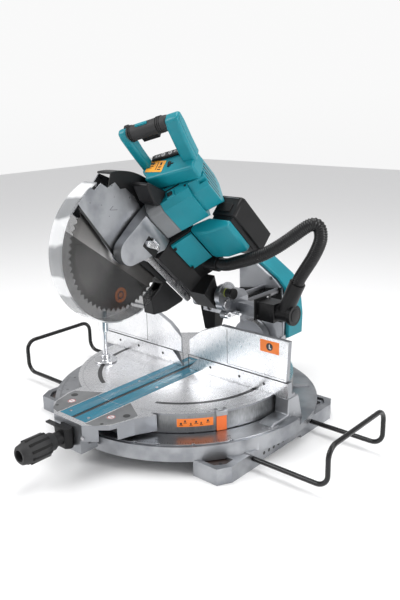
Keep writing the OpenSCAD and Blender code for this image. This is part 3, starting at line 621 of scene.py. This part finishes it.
spun(bm, [(6.5, 0), (10.5, 0), (10.5, 0.04), (6.5, 0.04)], (1.25, markAt.y, markAt.z), (1, 0, 0), 32)
block(bm, (1.25, markAt.y - 2, markAt.z - 15), (1.29, markAt.y + 2, markAt.z - 11))
newPiece("bladeMarkRing", bm, "blade", inkAndShadeBlack, headPlace)
print("blade done")

# ---- clear guard ----
guardPiece = refine("lower_guard", 0.0, finish=guardClear)
bm = bmesh.new()
spun(bm, [(36, 4.2), (179.5, 4.2), (179.5, 5.4), (36, 5.4)], (0, 0, 0), (1, 0, 0), 96)
bmesh.ops.bisect_plane(bm, geom=list(bm.verts) + list(bm.edges) + list(bm.faces), plane_co=(0, 0, -38),
                       plane_no=(0, -0.12, 1), clear_outer=True)
bmesh.ops.holes_fill(bm, edges=[e for e in bm.edges if e.is_boundary], sides=0)
newPiece("smokedFace", bm, "lower guard", smokedClear, headPlace)
bm = bmesh.new()
for i in range(22):
    a = math.radians(84 + i * 6.5)
    seat = Matrix.Rotation(-a, 4, "X")
    before = set(bm.verts)
    block(bm, (-35.9, -1.0, 0), (-35.2, 1.0, 3))
    bmesh.ops.transform(bm, matrix=Matrix.Rotation(math.radians(0), 4, "X"), verts=[v for v in bm.verts if v not in before])
    bmesh.ops.translate(bm, vec=(0, 0, 168), verts=[v for v in bm.verts if v not in before])
    movedBy(bm, before, Matrix.Rotation(a - math.radians(0), 4, "X"))
newPiece("guardNotches", bm, "lower guard", inkAndShadeBlack, headPlace)

# ---- guard cover ----
bm = bmesh.new()
outline(bm, [(-128, 8), (-124, 112), (-100, 122), (-64, 132), (-34, 110), (-10, 88), (22, 40), (28, 6), (16, -10),
             (-22, -14), (-60, 2)], "x", -42.2, -40.8)
newPiece("coverPlate", bm, "head", "cast_silver", headPlace, bevel=0.0006)
bm = bmesh.new()
for y, z in ((-130, 116), (-100, 128), (-66, 140), (-28, 112), (30, 36), (-28, -14), (20, -18)):
    screwHead(bm, (-41, y, z), (-1, 0, 0), 3.4, 2.0)
newPiece("coverScrews", bm, "head", "dark_steel", headPlace)
bm = bmesh.new()
outline(bm, [(-92, 66), (-78, 66), (-78, 58), (-62, 72), (-78, 86), (-78, 78), (-92, 78)], "x", -42.9, -42.1)
newPiece("turnArrow", bm, "head", "cast_silver", headPlace, bevel=0.0003)
bm = bmesh.new()
outline(bm, [(-131, 20), (-128, 25), (54, -5), (52, -12)], "x", -43.4, -42.2)
newPiece("coverSeam", bm, "head", "black_plastic", headPlace, bevel=0.0003)
bm = bmesh.new()
spun(bm, [(0, 0), (12, 0), (12, -3), (10, -6), (5, -6.5), (4.5, -3), (0, -3)], (-38, 0, 0), (1, 0, 0), 32, closed=False)
spun(bm, [(13, 0), (21, 0), (21, -4), (18, -5), (13, -5)], (-37, 0, 0), (1, 0, 0), 40)
newPiece("arborBolt", bm, "head", "steel", headPlace)
print("guards done")

# ---- upper guard and its right plate ----
bm = bmesh.new()
spun(bm, [(40, 10), (186, 10), (188.5, 8), (188.5, -39), (184, -39), (184, 5.5), (182, 6.5), (40, 6.5)], (0, 0, 0), (1, 0, 0),
     96)
for cut, normal in (((0, 0, 4), (0, 0.06, -1)), ((0, -112, 60), (0, -0.9, -0.44))):
    bmesh.ops.bisect_plane(bm, geom=list(bm.verts) + list(bm.edges) + list(bm.faces), plane_co=cut,
                           plane_no=normal, clear_outer=True)
    bmesh.ops.holes_fill(bm, edges=[e for e in bm.edges if e.is_boundary], sides=0)
newPiece("upperShell", bm, "head", "black_cast", headPlace, replaces=("upper_guard",), bevel=0.0008)
plateLine = [(-176, 8), (-172, 58), (-158, 60), (-153, 84), (-130, 88), (-120, 112), (-96, 110), (-84, 122), (-48, 124),
             (-16, 116), (18, 92), (30, 40), (26, -10), (6, -30), (-40, -22), (-110, -9)]
bm = bmesh.new()
outline(bm, plateLine, "x", 10.2, 11.5)
newPiece("rightPlate", bm, "head", "cast_silver", headPlace, bevel=0.0006)
bm = bmesh.new()
outline(bm, [(-170, 0), (-168, 5), (10, -22), (8, -29)], "x", 11.0, 11.9)
newPiece("plateEdge", bm, "head", inkAndShadeBlack, headPlace)
bm = bmesh.new()
for y, z in ((-160, 70), (-124, 100), (-60, 112)):
    screwHead(bm, (11.4, y, z), (1, 0, 0), 2.6, 0.5)
for y, z in ((-120, 46), (-84, 40), (-150, 30), (-100, 84)):
    rod(bm, (11.3, y, z), (11.7, y, z), 1.3, sides=12)
newPiece("plateScrews", bm, "head", "dark_steel", headPlace)
bm = bmesh.new()
for turn, far in ((38, 24), (80, 14)):
    seat = Matrix.Translation((11.6, -92, 52)) @ Matrix.Rotation(math.radians(turn), 4, "X")
    before = set(bm.verts)
    block(bm, (-0.3, 0, -0.8), (0.3, far, 0.8))
    movedBy(bm, before, seat)
newPiece("plateArrow", bm, "head", "dark_steel", headPlace)
bm = bmesh.new()
outline(bm, [(34, 22), (36, 46), (54, 68), (76, 54), (282, 44), (292, 34), (286, 22), (90, 24), (60, 14)], "x", 12.2, 17.8)
newPiece("linkBar", bm, "guard link", "steel", headPlace, bevel=0.0012, replaces=("guard_link",))
bm = bmesh.new()
for y, z in ((214, 33), (262, 32)):
    bolt(bm, (17.8, y, z), (1, 0, 0), 4.2, 1.6)
newPiece("linkBolts", bm, "guard link", "dark_steel", headPlace)

# ---- guard spring at the gear housing ----
bm = bmesh.new()
block(bm, (40, 20, 30), (49, 74, 62))
newPiece("springPocket", bm, "head", "black_cast", headPlace, bevel=0.003, segments=3)
bm = bmesh.new()
rod(bm, (46, 30, 44), (58, 30, 44), 9, sides=28)
rod(bm, (58, 30, 44), (60, 30, 44), 6, sides=28)
rod(bm, (47, 60, 52), (57, 60, 52), 6, sides=24)
outline(bm, [(26, 36), (34, 36), (66, 50), (64, 58), (30, 52)], "x", 52, 55)
newPiece("springLever", bm, "head", "chrome", headPlace, bevel=0.0008)
bm = bmesh.new()
turns = [Vector((50, 34 + 0.11 * i, 60)) + Vector((math.cos(math.radians(24 * i)), 0, math.sin(math.radians(24 * i)))) * 5
         for i in range(240)]
tubeAlong(bm, turns, [0.9] * len(turns), 6)
newPiece("springCoil", bm, "head", "steel", headPlace, angle=180)

# ---- bevel arm ----
armLine = [(-62, 112), (-62, 366), (-50, 378), (-8, 378), (74, 326), (98, 302), (108, 212), (106, 156), (60, 104)]
bm = bmesh.new()
outline(bm, armLine, "y", 320, 384)
rod(bm, (0, 320.2, 130), (0, 360, 130), 60, sides=64)
newPiece("armBody", bm, "arm", "cast_silver", small, bevel=0.004, segments=3, replaces=("arm_casting",))
bm = bmesh.new()
outline(bm, [(-10, 378.5), (-2, 388), (82, 334), (109, 308), (121, 214), (119, 150), (106, 146), (108.3, 212), (98.3, 302.4),
             (74.2, 326.6)], "y", 330, 404)
newPiece("armTrim", bm, "arm", "teal_plastic", small, bevel=0.003, segments=3, replaces=("arm_cover",))
bm = bmesh.new()
outline(bm, [(-46, 200), (-46, 276), (52, 276), (52, 200)], "y", 383.4, 385)
for z in (212, 228, 244, 260):
    block(bm, (-44, 383, z), (50, 386, z + 3))
newPiece("armBack", bm, "arm", "black_plastic", small, bevel=0.001)
bm = bmesh.new()
for x, z in ((-50, 130), (-50, 360), (60, 330), (90, 220)):
    bolt(bm, (x, 319.6, z), (0, -1, 0), 4.4, 3.2)
newPiece("armBolts", bm, "arm", "dark_steel", small)

# ---- handle ----
handle = {"gripY": -95, "gripZ": 16, "ribs": 9}


def bowed(bm, stations, sides=20):
    faces = []
    face = None
    previous = None
    for centre, across, tall, ahead in stations:
        turn = Vector(ahead).normalized().to_track_quat("Z", "Y").to_matrix().to_4x4()
        place = Matrix.Translation(centre) @ turn @ Matrix.Diagonal((across, tall, 1, 1))
        if face is None:
            made = bmesh.ops.create_circle(bm, cap_ends=True, segments=sides, radius=1, matrix=place)
            face = next(f for f in made["verts"][0].link_faces)
            start = face
        else:
            grown = bmesh.ops.extrude_face_region(bm, geom=[face])
            verts = [g for g in grown["geom"] if isinstance(g, bmesh.types.BMVert)]
            new = next(g for g in grown["geom"] if isinstance(g, bmesh.types.BMFace))
            if face is not start:
                bmesh.ops.delete(bm, geom=[face], context="FACES_ONLY")
            bmesh.ops.transform(bm, matrix=place @ previous.inverted(), verts=verts)
            face = new
        previous = place
    return bm


gripY, gripZ = handle["gripY"], handle["gripZ"]
bm = bmesh.new()
block(bm, (14, 0, -44), (150, 43, 12))
outline(bm, [(0, -14), (0, 12), (20, 12), (20, -38)], "y", 0.4, 43)
shellPiece = newPiece("handleRoot", bm, "head", "teal_plastic", handlePlace, bevel=0.006, segments=4,
                      replaces=("handle_body",))
bm = bmesh.new()
outline(bm, [(10, -10), (10, 16), (-40, 22), (-78, 31), (-104, 31), (-112.5, 22), (-112.5, 8), (-98, 1), (-50, -5)], "x", 0.5, 25)
newPiece("leftLeg", bm, "head", "teal_plastic", handlePlace, bevel=0.007, segments=4)
bm = bmesh.new()
outline(bm, [(14, -22), (14, 18), (-30, 22), (-78, 30), (-104, 30), (-112, 22), (-112, 2), (-94, -7), (-40, -16)], "x", 118, 153)
lean = Matrix.Identity(4)
lean[0][1] = -0.13
bmesh.ops.transform(bm, matrix=lean, verts=bm.verts)
newPiece("rightLeg", bm, "head", "teal_plastic", handlePlace, bevel=0.008, segments=4)
bm = bmesh.new()
outline(bm, [(6, -6), (6, 8), (-40, 14), (-76, 20), (-98, 20), (-104, 14), (-98, 6), (-50, -2)], "x", 153.0, 153.6)
bmesh.ops.transform(bm, matrix=lean, verts=bm.verts)
newPiece("legSeam", bm, "head", "teal_plastic", handlePlace, bevel=0.0002)
bm = bmesh.new()
bowed(bm, [((20, gripY - 2, gripZ), 13, 13, (1, 0, 0)), ((24, gripY - 1, gripZ), 17.5, 17.5, (1, 0, 0)),
           ((40, gripY, gripZ), 19, 18.6, (1, 0, 0)), ((62, gripY, gripZ), 18.4, 18, (1, 0, 0)),
           ((84, gripY, gripZ), 18.4, 18, (1, 0, 0)), ((112, gripY, gripZ), 19, 18.6, (1, 0, 0)),
           ((132, gripY, gripZ - 2), 18.8, 18.8, (1, 0, -0.1)), ((138, gripY, gripZ - 3), 17, 17, (1, 0, -0.1))], 28)
newPiece("gripSleeve", bm, "head", gripRubber, handlePlace, angle=50, subdivide=1,
         replaces=("handle_grip",))
bm = bmesh.new()
for u in (29, 34, 106, 111, 116):
    spun(bm, [(18.3, -0.9), (19.9, -0.5), (19.9, 0.5), (18.3, 0.9)], (u, gripY, gripZ), (1, 0, 0), 40)
newPiece("gripRibs", bm, "head", "black_rubber", handlePlace, angle=60)
bm = bmesh.new()
rod(bm, (1.5, -97, 14), (7, -97, 14), 7.5, 8.5, 24)
rod(bm, (0.2, -97, 14), (1.6, -97, 14), 5, 6.5, 24)
newPiece("gripButton", bm, "head", "black_rubber", handlePlace, bevel=0.0006)
bm = bmesh.new()
block(bm, (15, -113.2, 21), (30, -84, 31.5))
newPiece("topClip", bm, "head", "black_plastic", handlePlace, bevel=0.003, segments=3)
bm = bmesh.new()
block(bm, (27, -6, 8), (119, 3, 24))
newPiece("switchBridge", bm, "head", "black_plastic", handlePlace, bevel=0.003, segments=3)
bm = bmesh.new()
block(bm, (34, -7.2, 9.5), (112, -5.8, 22.5))
newPiece("switchPanel", bm, "head", inkAndShadeBlack, handlePlace, bevel=0.0006)
bm = bmesh.new()
for u in (62, 82):
    spun(bm, [(3.6, 0), (5.0, 0), (5.0, -0.5), (3.6, -0.5)], (u, -7.1, 16), (0, 1, 0), 28)
for u in (42, 50, 94, 102):
    block(bm, (u - 2, -7.6, 14), (u + 2, -7.1, 15.4))
    block(bm, (u - 1, -7.6, 17), (u + 3, -7.1, 18.2))
block(bm, (60.6, -7.6, 15.4), (63.4, -7.1, 16.6))
block(bm, (81.4, -7.6, 14.4), (82.6, -7.1, 17.6))
newPiece("switchMarks", bm, "head", inkWhite, handlePlace)
bm = bmesh.new()
block(bm, (14, -0.9, -26), (66, 0.3, 8))
tilt = Matrix.Translation((40, 0, -9)) @ Matrix.Rotation(math.radians(16), 4, "Y") @ Matrix.Translation((-40, 0, 9))
bmesh.ops.transform(bm, matrix=tilt, verts=bm.verts)
newPiece("handleLabel", bm, "head", labelYellow, handlePlace, bevel=0.0004)
bm = bmesh.new()
for u0, w0, u1, w1 in ((18, -4, 34, 2), (18, -10, 34, -8), (18, -15, 30, -13), (44, -20, 46, 4), (50, -20, 60, -17),
                       (50, -13, 60, -10), (52, -6, 58, 2)):
    block(bm, (u0, -1.2, w0), (u1, -0.8, w1))
bmesh.ops.transform(bm, matrix=tilt, verts=bm.verts)
newPiece("labelMarks", bm, "head", inkAndShadeBlack, handlePlace)
bm = bmesh.new()
block(bm, (76, -2.5, -22), (84, 1, -6))
block(bm, (84, -1.5, -16), (92, 1, -12))
newPiece("rootClip", bm, "head", "black_plastic", handlePlace, bevel=0.0012)
print("handle done")

# ---- motor ----
bm = bmesh.new()
for u in (-44, -30, -16, -2, 12):
    block(bm, (u, -55.6, 60), (u + 5, -54.4, 100))
newPiece("motorVents", bm, "head", "black_plastic", motorPlace, bevel=0.0008)
bm = bmesh.new()
for u in (-46, 30):
    for t in (48, 114):
        screwHead(bm, (u, -55, t), (0, -1, 0), 3.2, 1.8)
for v in (-30, 30):
    for t in (50, 112):
        screwHead(bm, (-58, v, t), (-1, 0, 0), 3.2, 1.8)
newPiece("motorScrews", bm, "head", "black_plastic", motorPlace)
bm = bmesh.new()
for t in (52, 57):
    block(bm, (-46, -56.4, t), (36, -54.6, t + 2))
block(bm, (24, -59, 62), (44, -54, 84))
newPiece("motorRibs", bm, "head", "teal_plastic", motorPlace, bevel=0.0012, segments=3)
bm = bmesh.new()
block(bm, (28, -61, 66), (40, -57.5, 80))
newPiece("motorClip", bm, "head", "black_plastic", motorPlace, bevel=0.0012, segments=3)
bm = bmesh.new()
for x in (-36, -18, 0, 18, 36):
    block(bm, (x - 3.4, -34, 138), (x + 3.4, 26, 167.4))
newPiece("capVents", bm, "head", "black_plastic", motorPlace, bevel=0.0012)
print("motor done")

# ---- battery and side cover ----
bm = bmesh.new()
for z in (196, 206, 226, 238):
    block(bm, (125.2, 118, z), (127, 240, z + 3))
block(bm, (125.0, 102, 214), (126.6, 250, 219))
newPiece("batteryRidges", bm, "battery", "black_plastic", headPlace, bevel=0.0008)
bm = bmesh.new()
block(bm, (124.6, 108, 222.6), (126.4, 246, 224.4))
block(bm, (140, 92.6, 240), (186, 95.0, 242))
newPiece("batteryEdge", bm, "battery", "grey_band", headPlace, bevel=0.0003)
bm = bmesh.new()
block(bm, (146, 90.5, 200), (180, 95, 224))
for y in (120, 140, 160, 180, 200, 220):
    block(bm, (136, y, 245.2), (190, y + 6, 247))
newPiece("batteryLatch", bm, "battery", "black_rubber", headPlace, bevel=0.0012)
coverTurn = Matrix.Translation((58, 0, 86)) @ Matrix.Rotation(math.radians(131), 4, "Y")
bm = bmesh.new()
for y in (108, 194):
    before = set(bm.verts)
    screwHead(bm, (0, y, 0), (0, 0, 1), 4.2, 2.6)
    movedBy(bm, before, Matrix.Translation((4.0, 0, -4.6)) @ coverTurn)
newPiece("coverFixings", bm, "head", "black_plastic", headPlace)
print("battery done")

# ---- slide, pivot and spring ----
bm = bmesh.new()
coil = {"turns": 9, "radius": 11.2, "wire": 1.7}
steps = coil["turns"] * 20
springRoute = [Vector((46.8 + 14.4 * i / steps + 0.0, 44 + coil["radius"] * math.cos(math.radians(18 * i)),
                       324 + coil["radius"] * math.sin(math.radians(18 * i)))) for i in range(steps + 1)]
tubeAlong(bm, springRoute, [coil["wire"] * 0.47] * len(springRoute), 8)
newPiece("returnCoil", bm, "carriage", "steel", small, replaces=("return_spring",), angle=180)
bm = bmesh.new()
spun(bm, [(8, 0), (12, 0), (12, 1.2), (8, 1.2)], (115.4, 42, 358), (1, 0, 0), 40)
newPiece("slideRing", bm, "carriage", inkGreen, small)
bm = bmesh.new()
for i in range(19):
    a = math.radians(-30 + i * 9)
    seat = Matrix.Translation((0, 44, 348)) @ Matrix.Rotation(a, 4, "X")
    before = set(bm.verts)
    block(bm, (115.3, 31, -0.35), (115.9, 36 if i % 2 else 33.5, 0.35))
    movedBy(bm, before, seat)
newPiece("coverTicks", bm, "carriage", inkAndShadeBlack, small)
bm = bmesh.new()
for y, z in ((84, 296), (126, 296), (126, 336), (84, 332)):
    bolt(bm, (186, y + 3, z), (1, 0, 0), 3.4, 3)
newPiece("elbowBolts", bm, "carriage", "steel", small)
bm = bmesh.new()
for i in range(24):
    seat = Matrix.Translation((0, 110, 309.5)) @ Matrix.Rotation(math.radians(15 * i), 4, "X")
    before = set(bm.verts)
    block(bm, (278, 26.2, -1), (286, 27.6, 1))
    movedBy(bm, before, seat)
before = set(bm.verts)
spun(bm, [(0, 0), (18, 0), (18, 1.2), (16, 1.8), (0, 1.2)], (287.9, 110, 309.5), (1, 0, 0), 32, closed=False)
newPiece("capKnurl", bm, "carriage", "black_plastic", small)
print("slide done")

# ---- turntable ----
table = {"z": 130, "radius": 298.5}
# darker metal band around the turntable rim: painted shade and reflection on the side
bm = bmesh.new()
spun(bm, [(298.0, 84), (298.9, 84), (298.9, 125), (298.0, 125)], (0, 0, 0), (0, 0, 1), 128, closed=True)
bmesh.ops.bisect_plane(bm, geom=list(bm.verts) + list(bm.edges) + list(bm.faces), plane_co=(0, -228, 0),
                       plane_no=(0, 0, 1), clear_inner=False)
newPiece("tableSideShadeBand", bm, "turntable", sideShadeGrey, small)
bm = bmesh.new()
spun(bm, [(286, 129.7), (287.2, 129.7), (287.2, 130.12), (286, 130.12)], (0, 0, 0), (0, 0, 1), 128)
spun(bm, [(118, 129.7), (118.8, 129.7), (118.8, 130.1), (118, 130.1)], (0, 0, 0), (0, 0, 1), 96)
newPiece("tableGrooves", bm, "turntable", "scale_steel", small)


def arcPlate(bm, radius, half, a0, a1, z0, z1, sides=36):
    start = Matrix.Rotation(math.radians(a0), 4, "Z")
    verts = [bm.verts.new(start @ Vector((0, -r, z))) for r, z in
             ((radius - half, z0), (radius + half, z0), (radius + half, z1), (radius - half, z1))]
    face = bm.faces.new(verts)
    bmesh.ops.spin(bm, geom=[face] + verts + list(face.edges), cent=(0, 0, 0), axis=(0, 0, 1),
                   angle=math.radians(a1 - a0), steps=sides)


# black arcs laid over the mitre slots in the table top: painted shade in the slots
bm = bmesh.new()
arcPlate(bm, 240, 5.6, 24, 88, 129.0, 130.15)
arcPlate(bm, 240, 5.6, -88, -24, 129.0, 130.15)
newPiece("tableSlots", bm, "turntable", inkAndShadeBlack, small)
bm = bmesh.new()
for side in (-1, 1):
    outline(bm, [(side * 52, -408), (side * 78, -402), (side * 104, -370), (side * 118, -318), (side * 118, -300),
                 (side * 52, -262)], "z", 129.6, 130.25)
newPiece("armInsets", bm, "turntable", insetGrey, small, bevel=0.0002)
bm = bmesh.new()
for side in (-1, 1):
    spun(bm, [(0, 0), (9, 0), (9, 0.5), (0, 0.5)], (side * 98, -318, 130.0), (0, 0, 1), 32, closed=False)
    spun(bm, [(0, 0), (4, 0), (4, 0.5), (0, 0.5)], (side * 84, -384, 130.0), (0, 0, 1), 24, closed=False)
newPiece("armHoles", bm, "turntable", inkAndShadeBlack, small)
bm = bmesh.new()
for side in (-1, 1):
    spun(bm, [(0, 0), (10.5, 0), (10.5, 0.3), (0, 0.3)], (side * 74, -346, 130.2), (0, 0, 1), 32, closed=False)
newPiece("armBadges", bm, "turntable", inkWhite, small)
redRing = labelFinish("badgeRed", (0.42, 0.04, 0.05), (0.30, 0.03, 0.03))
bm = bmesh.new()
for side in (-1, 1):
    spun(bm, [(8.2, 0), (10.2, 0), (10.2, 0.3), (8.2, 0.3)], (side * 74, -346, 130.4), (0, 0, 1), 32)
    block(bm, (side * 74 - 5.5, -347, 130.4), (side * 74 + 5.5, -345, 130.7))
newPiece("badgeRings", bm, "turntable", redRing, small)
# black strip below the table top in the kerf slot: painted shade in the gap
bm = bmesh.new()
block(bm, (-6, -402, 127), (6, 65, 128.6))
newPiece("kerfShade", bm, "turntable", inkAndShadeBlack, small)
bm = bmesh.new()
arcPlate(bm, 299.1, 0.35, 38, 55, 96, 117, 14)
newPiece("tableLabel", bm, "turntable", labelOrange, small)
bm = bmesh.new()
for a, z, w in ((39.5, 102, 0.9), (41.5, 108, 0.7), (44.2, 101, 0.6), (46.5, 106, 0.9), (49, 102, 0.6), (52, 107, 0.9)):
    arcPlate(bm, 299.5, 0.15, a, a + w, z, z + 5, 2)
    arcPlate(bm, 299.5, 0.15, a - 0.4, a + w + 0.5, z - 2.6, z - 1.4, 2)
newPiece("tableLabelMarks", bm, "turntable", inkAndShadeBlack, small)
pointerTurn = Matrix.Rotation(math.radians(59), 4, "Z")
bm = bmesh.new()
block(bm, (-15, -303.5, 118), (15, -296, 131))
block(bm, (-15, -300, 126), (-7, -286, 133))
block(bm, (7, -300, 126), (15, -286, 133))
bmesh.ops.transform(bm, matrix=pointerTurn, verts=bm.verts)
newPiece("pointerBracket", bm, "turntable", "cast_silver", small, bevel=0.0015)
bm = bmesh.new()
for x in (-52, 52):
    bolt(bm, (x, -418.6, 84 + 12), (0, -1, 0), 4.0, 3)
newPiece("noseBolts", bm, "turntable", "steel", small)
print("turntable done")

# ---- scale ----
bm = bmesh.new()
for i in range(-60, 61):
    seat = Matrix.Rotation(math.radians(i), 4, "Z")
    long = 12 if i % 10 == 0 else 8.5 if i % 5 == 0 else 5
    tick = block(bm, (-0.35, -352.5, 78.95), (0.35, -352.5 + long, 79.15))
    bmesh.ops.transform(bm, matrix=seat, verts=tick)
newPiece("scaleTicks", bm, "base", inkAndShadeBlack, small)
for i in range(-60, 61, 15):
    text = bpy.data.curves.new("scaleNumber", "FONT")
    text.body = str(abs(i))
    text.size = 9
    text.align_x = "CENTER"
    text.extrude = 0.05
    holder = bpy.data.objects.new("scaleNumberText", text)
    bpy.context.scene.collection.objects.link(holder)
    bpy.context.view_layer.update()
    mesh = bpy.data.meshes.new_from_object(holder.evaluated_get(bpy.context.evaluated_depsgraph_get()))
    bpy.data.objects.remove(holder)
    bm = bmesh.new()
    bm.from_mesh(mesh)
    bmesh.ops.transform(bm, matrix=Matrix.Rotation(math.radians(i), 4, "Z") @ Matrix.Translation((0, -337, 79.1)), verts=bm.verts)
    newPiece("scaleNumber" + str(i + 60), bm, "base", inkAndShadeBlack, small)
bm = bmesh.new()
for i in range(5, 340, 5):
    for side in (-1, 1):
        high = 9 if i % 50 == 0 else 6.5 if i % 25 == 0 else 4
        x = side * (10 + i)
        if abs(x) < 344:
            block(bm, (x - 0.3, -0.12, 131), (x + 0.3, 0.1, 131 + high))
newPiece("fenceTicks", bm, "base", inkAndShadeBlack, small)
bm = bmesh.new()
for side in (-1, 1):
    for x in (90, 190, 270):
        spun(bm, [(0, 0), (4, 0), (4, 0.4), (0, 0.4)], (side * x, -0.2, 152), (0, 1, 0), 24, closed=False)
newPiece("fenceHoles", bm, "base", inkAndShadeBlack, small)
for side, name in ((-1, "upper fence left"), (1, "upper fence right")):
    bm = bmesh.new()
    block(bm, (side * 150 - 0.7, -0.25, 178), (side * 150 + 0.7, 0.2, 274))
    block(bm, (side * 150, -0.25, 178), (side * 335, 0.2, 178.8))
    newPiece("fenceLine" + ("Left" if side < 0 else "Right"), bm, name, inkAndShadeBlack, small)
bm = bmesh.new()
for side in (-1, 1):
    outline(bm, [(side * 11, 170.6), (side * 50, 170.6), (side * 51, 169.6), (side * 344, 169.6), (side * 344, 171.6),
                 (side * 11, 171.6)], "y", -0.35, 0.1)
    block(bm, (min(side * 9.6, side * 11.4), -0.35, 131), (max(side * 9.6, side * 11.4), 0.1, 171))
newPiece("fenceGapLines", bm, "base", inkAndShadeBlack, small)
bm = bmesh.new()
block(bm, (258, -0.4, 240), (316, 0.1, 272))
newPiece("fenceLabel", bm, "upper fence right", labelOrange, small, bevel=0.0002)
bm = bmesh.new()
spun(bm, [(0, 0), (10, 0), (10, 0.3), (0, 0.3)], (287, -0.75, 256), (0, 1, 0), 32, closed=False)
newPiece("fenceLabelDisc", bm, "upper fence right", inkAndShadeBlack, small)
bm = bmesh.new()
block(bm, (285.6, -1.0, 251), (288.4, -0.7, 262))
block(bm, (288, -1.0, 250.5), (292.5, -0.7, 253.5))
newPiece("fenceLabelMark", bm, "upper fence right", inkWhite, small)
print("fence and scale done")

# ---- base ----
bm = bmesh.new()
for side in (-1, 1):
    for end in (-1, 1):
        y = end * 205
        spun(bm, [(5.6, 30.2), (10.8, 30.2), (10.8, 32), (5.6, 32)], (side * 300, y, 0), (0, 0, 1), 32)
newPiece("boltSeats", bm, "base", "dark_steel", small)
bm = bmesh.new()
for side in (-1, 1):
    x0, x1, c, y1 = side * 236, side * 345, side * 18, -258
    outline(bm, [(x0 + c * 1.1, y1 + 60), (x1 - c * 1.1, y1 + 60), (x1 - c * 1.1, y1 + 36), (x1 - 2.1 * c, y1 + 14),
                 (x0 + 2.1 * c, y1 + 14), (x0 + c * 1.1, y1 + 36)], "z", 34.05, 34.9)
newPiece("footRecess", bm, "base", footBrown, small)
bm = bmesh.new()
for side in (-1, 1):
    for dx in (-18, 18):
        spun(bm, [(0, 0), (4, 0), (4, 1.4), (0, 1.4)], (side * 290 + dx, -222, 34.8), (0, 0, 1), 24, closed=False)
    for y in (-100, -80, -60, -40, -20):
        spun(bm, [(0, 0), (4.5, 0), (4.5, 0.6), (0, 0.6)], (side * 322 + (22.7 if side > 0 else -22.7) * 1.0, y, 24),
             (side, 0, 0), 24, closed=False)
newPiece("footDots", bm, "base", inkAndShadeBlack, small)
bm = bmesh.new()
for side in (-1, 1):
    spun(bm, [(0, 8), (5, 7), (8, 3), (8.5, 0), (0, 0)], (side * 318, -80, 43), (0, 0, 1), 32, closed=False)
newPiece("bridgeBolts", bm, "base", "steel", small)
print("base done")

bridgeLine = [(-112, 12), (66, 12), (66, 60), (54, 104), (46, 128.5), (4, 128.5), (1, 86), (-58, 84), (-96, 64), (-112, 46)]
bm = bmesh.new()
for side in (-1, 1):
    outline(bm, bridgeLine, "x", side * 303, side * 344.8)
newPiece("sideBridges", bm, "base", "cast_silver", small, bevel=0.003, segments=3)
bm = bmesh.new()
for side in (-1, 1):
    for k in range(8):
        y, z = -92 + k * 17, 52 + k * 4.2
        spun(bm, [(0, 0), (5.4, 0), (5.4, 0.5), (3.2, 0.9), (0, 0.4)], (side * 344.6, y, z), (side, 0, 0), 24, closed=False)
newPiece("bridgeScallops", bm, "base", "scale_steel", small)

# ---- lock grip ----
grip = {"from": -466, "length": 94, "flutes": 10}
bm = bmesh.new()
y0 = grip["from"]
spun(bm, [(0, 56), (7, 56), (7, 1), (20, 1), (22, -3), (22, -12), (24, -16), (29, -22), (29.6, -40), (29.2, -62),
          (28, -72), (25, -80), (23, -90), (19, -93.5), (14, -93.5), (13.5, -68), (0, -68)],
     (0, y0, 92), (0, 1, 0), 40, closed=False)
newPiece("lockKnob", bm, "mitre lock grip", gripRubber, small, replaces=("lock_grip",), angle=40)
bm = bmesh.new()
for i in range(grip["flutes"]):
    seat = Matrix.Translation((0, 0, 92)) @ Matrix.Rotation(math.radians(360 / grip["flutes"] * i), 4, "Y")
    before = set(bm.verts)
    block(bm, (-3.4, y0 - 74, 27.2), (3.4, y0 - 20, 29.9))
    movedBy(bm, before, seat)
newPiece("lockKnobRibs", bm, "mitre lock grip", "black_rubber", small, bevel=0.0012, segments=3)
bm = bmesh.new()
for i in range(26):
    z = 236 + i * 2.0
    spun(bm, [(6.7, -0.55), (7.2, 0), (6.7, 0.55)], (-216, -108, z if z < 300 else 158 + (z - 300)), (0, 0, 1), 24, closed=False)
newPiece("viseThread", bm, "vise screw", "chrome", small, angle=180)
print("grip and vise done")

# ---- floor and light ----
bm = bmesh.new()
bmesh.ops.create_grid(bm, x_segments=1, y_segments=1, size=6)
floorMesh = bpy.data.meshes.new("floor")
bm.to_mesh(floorMesh)
bm.free()
floor = bpy.data.objects.new("floor", floorMesh)
bpy.context.scene.collection.objects.link(floor)
material, s, surface = newMaterial("paleFloor")
setSurface(s, surface, Base_Color=(0.93, 0.93, 0.93), Roughness=0.6 + s.noise(s.coords(), 30) * 0.1)
floorMesh.materials.append(material)


def softLight(name, place, target, size, power):
    data = bpy.data.lights.new(name, "AREA")
    data.shape = "RECTANGLE"
    data.size, data.size_y = size
    data.energy = power
    lamp = bpy.data.objects.new(name, data)
    bpy.context.scene.collection.objects.link(lamp)
    aim = (Vector(target) - Vector(place)).to_track_quat("-Z", "Y")
    lamp.matrix_world = Matrix.Translation(place) @ aim.to_matrix().to_4x4()


softLight("key", (-1.3, -1.9, 2.0), (0, 0, 0.35), (1.2, 1.2), 34)
softLight("side", (2.3, 0.1, 1.2), (0, 0, 0.35), (0.7, 1.5), 26)
softLight("top", (0.0, 0.3, 2.4), (0, 0, 0.2), (1.4, 1.4), 24)
world = bpy.data.worlds.new("studio")
world.use_nodes = True
bpy.context.scene.world = world
sky = Shader(world.node_tree)
x, y, z = sky.parts(sky.node("ShaderNodeTexCoord", out="Generated"))
shade = sky.ramp(z * 0.5 + 0.5, [(0.0, (0.75, 0.75, 0.76)), (0.5, (1.0, 1.0, 1.0)), (0.56, (1.0, 1.0, 1.0)), (0.64, (0.42, 0.42, 0.43)),
                                 (0.8, (0.62, 0.62, 0.63)), (1.0, (0.9, 0.9, 0.9))])
world.node_tree.links.new(shade.socket, world.node_tree.nodes["Background"].inputs[0])
world.node_tree.nodes["Background"].inputs[1].default_value = 0.95
bpy.context.scene.view_settings.view_transform = "Standard"
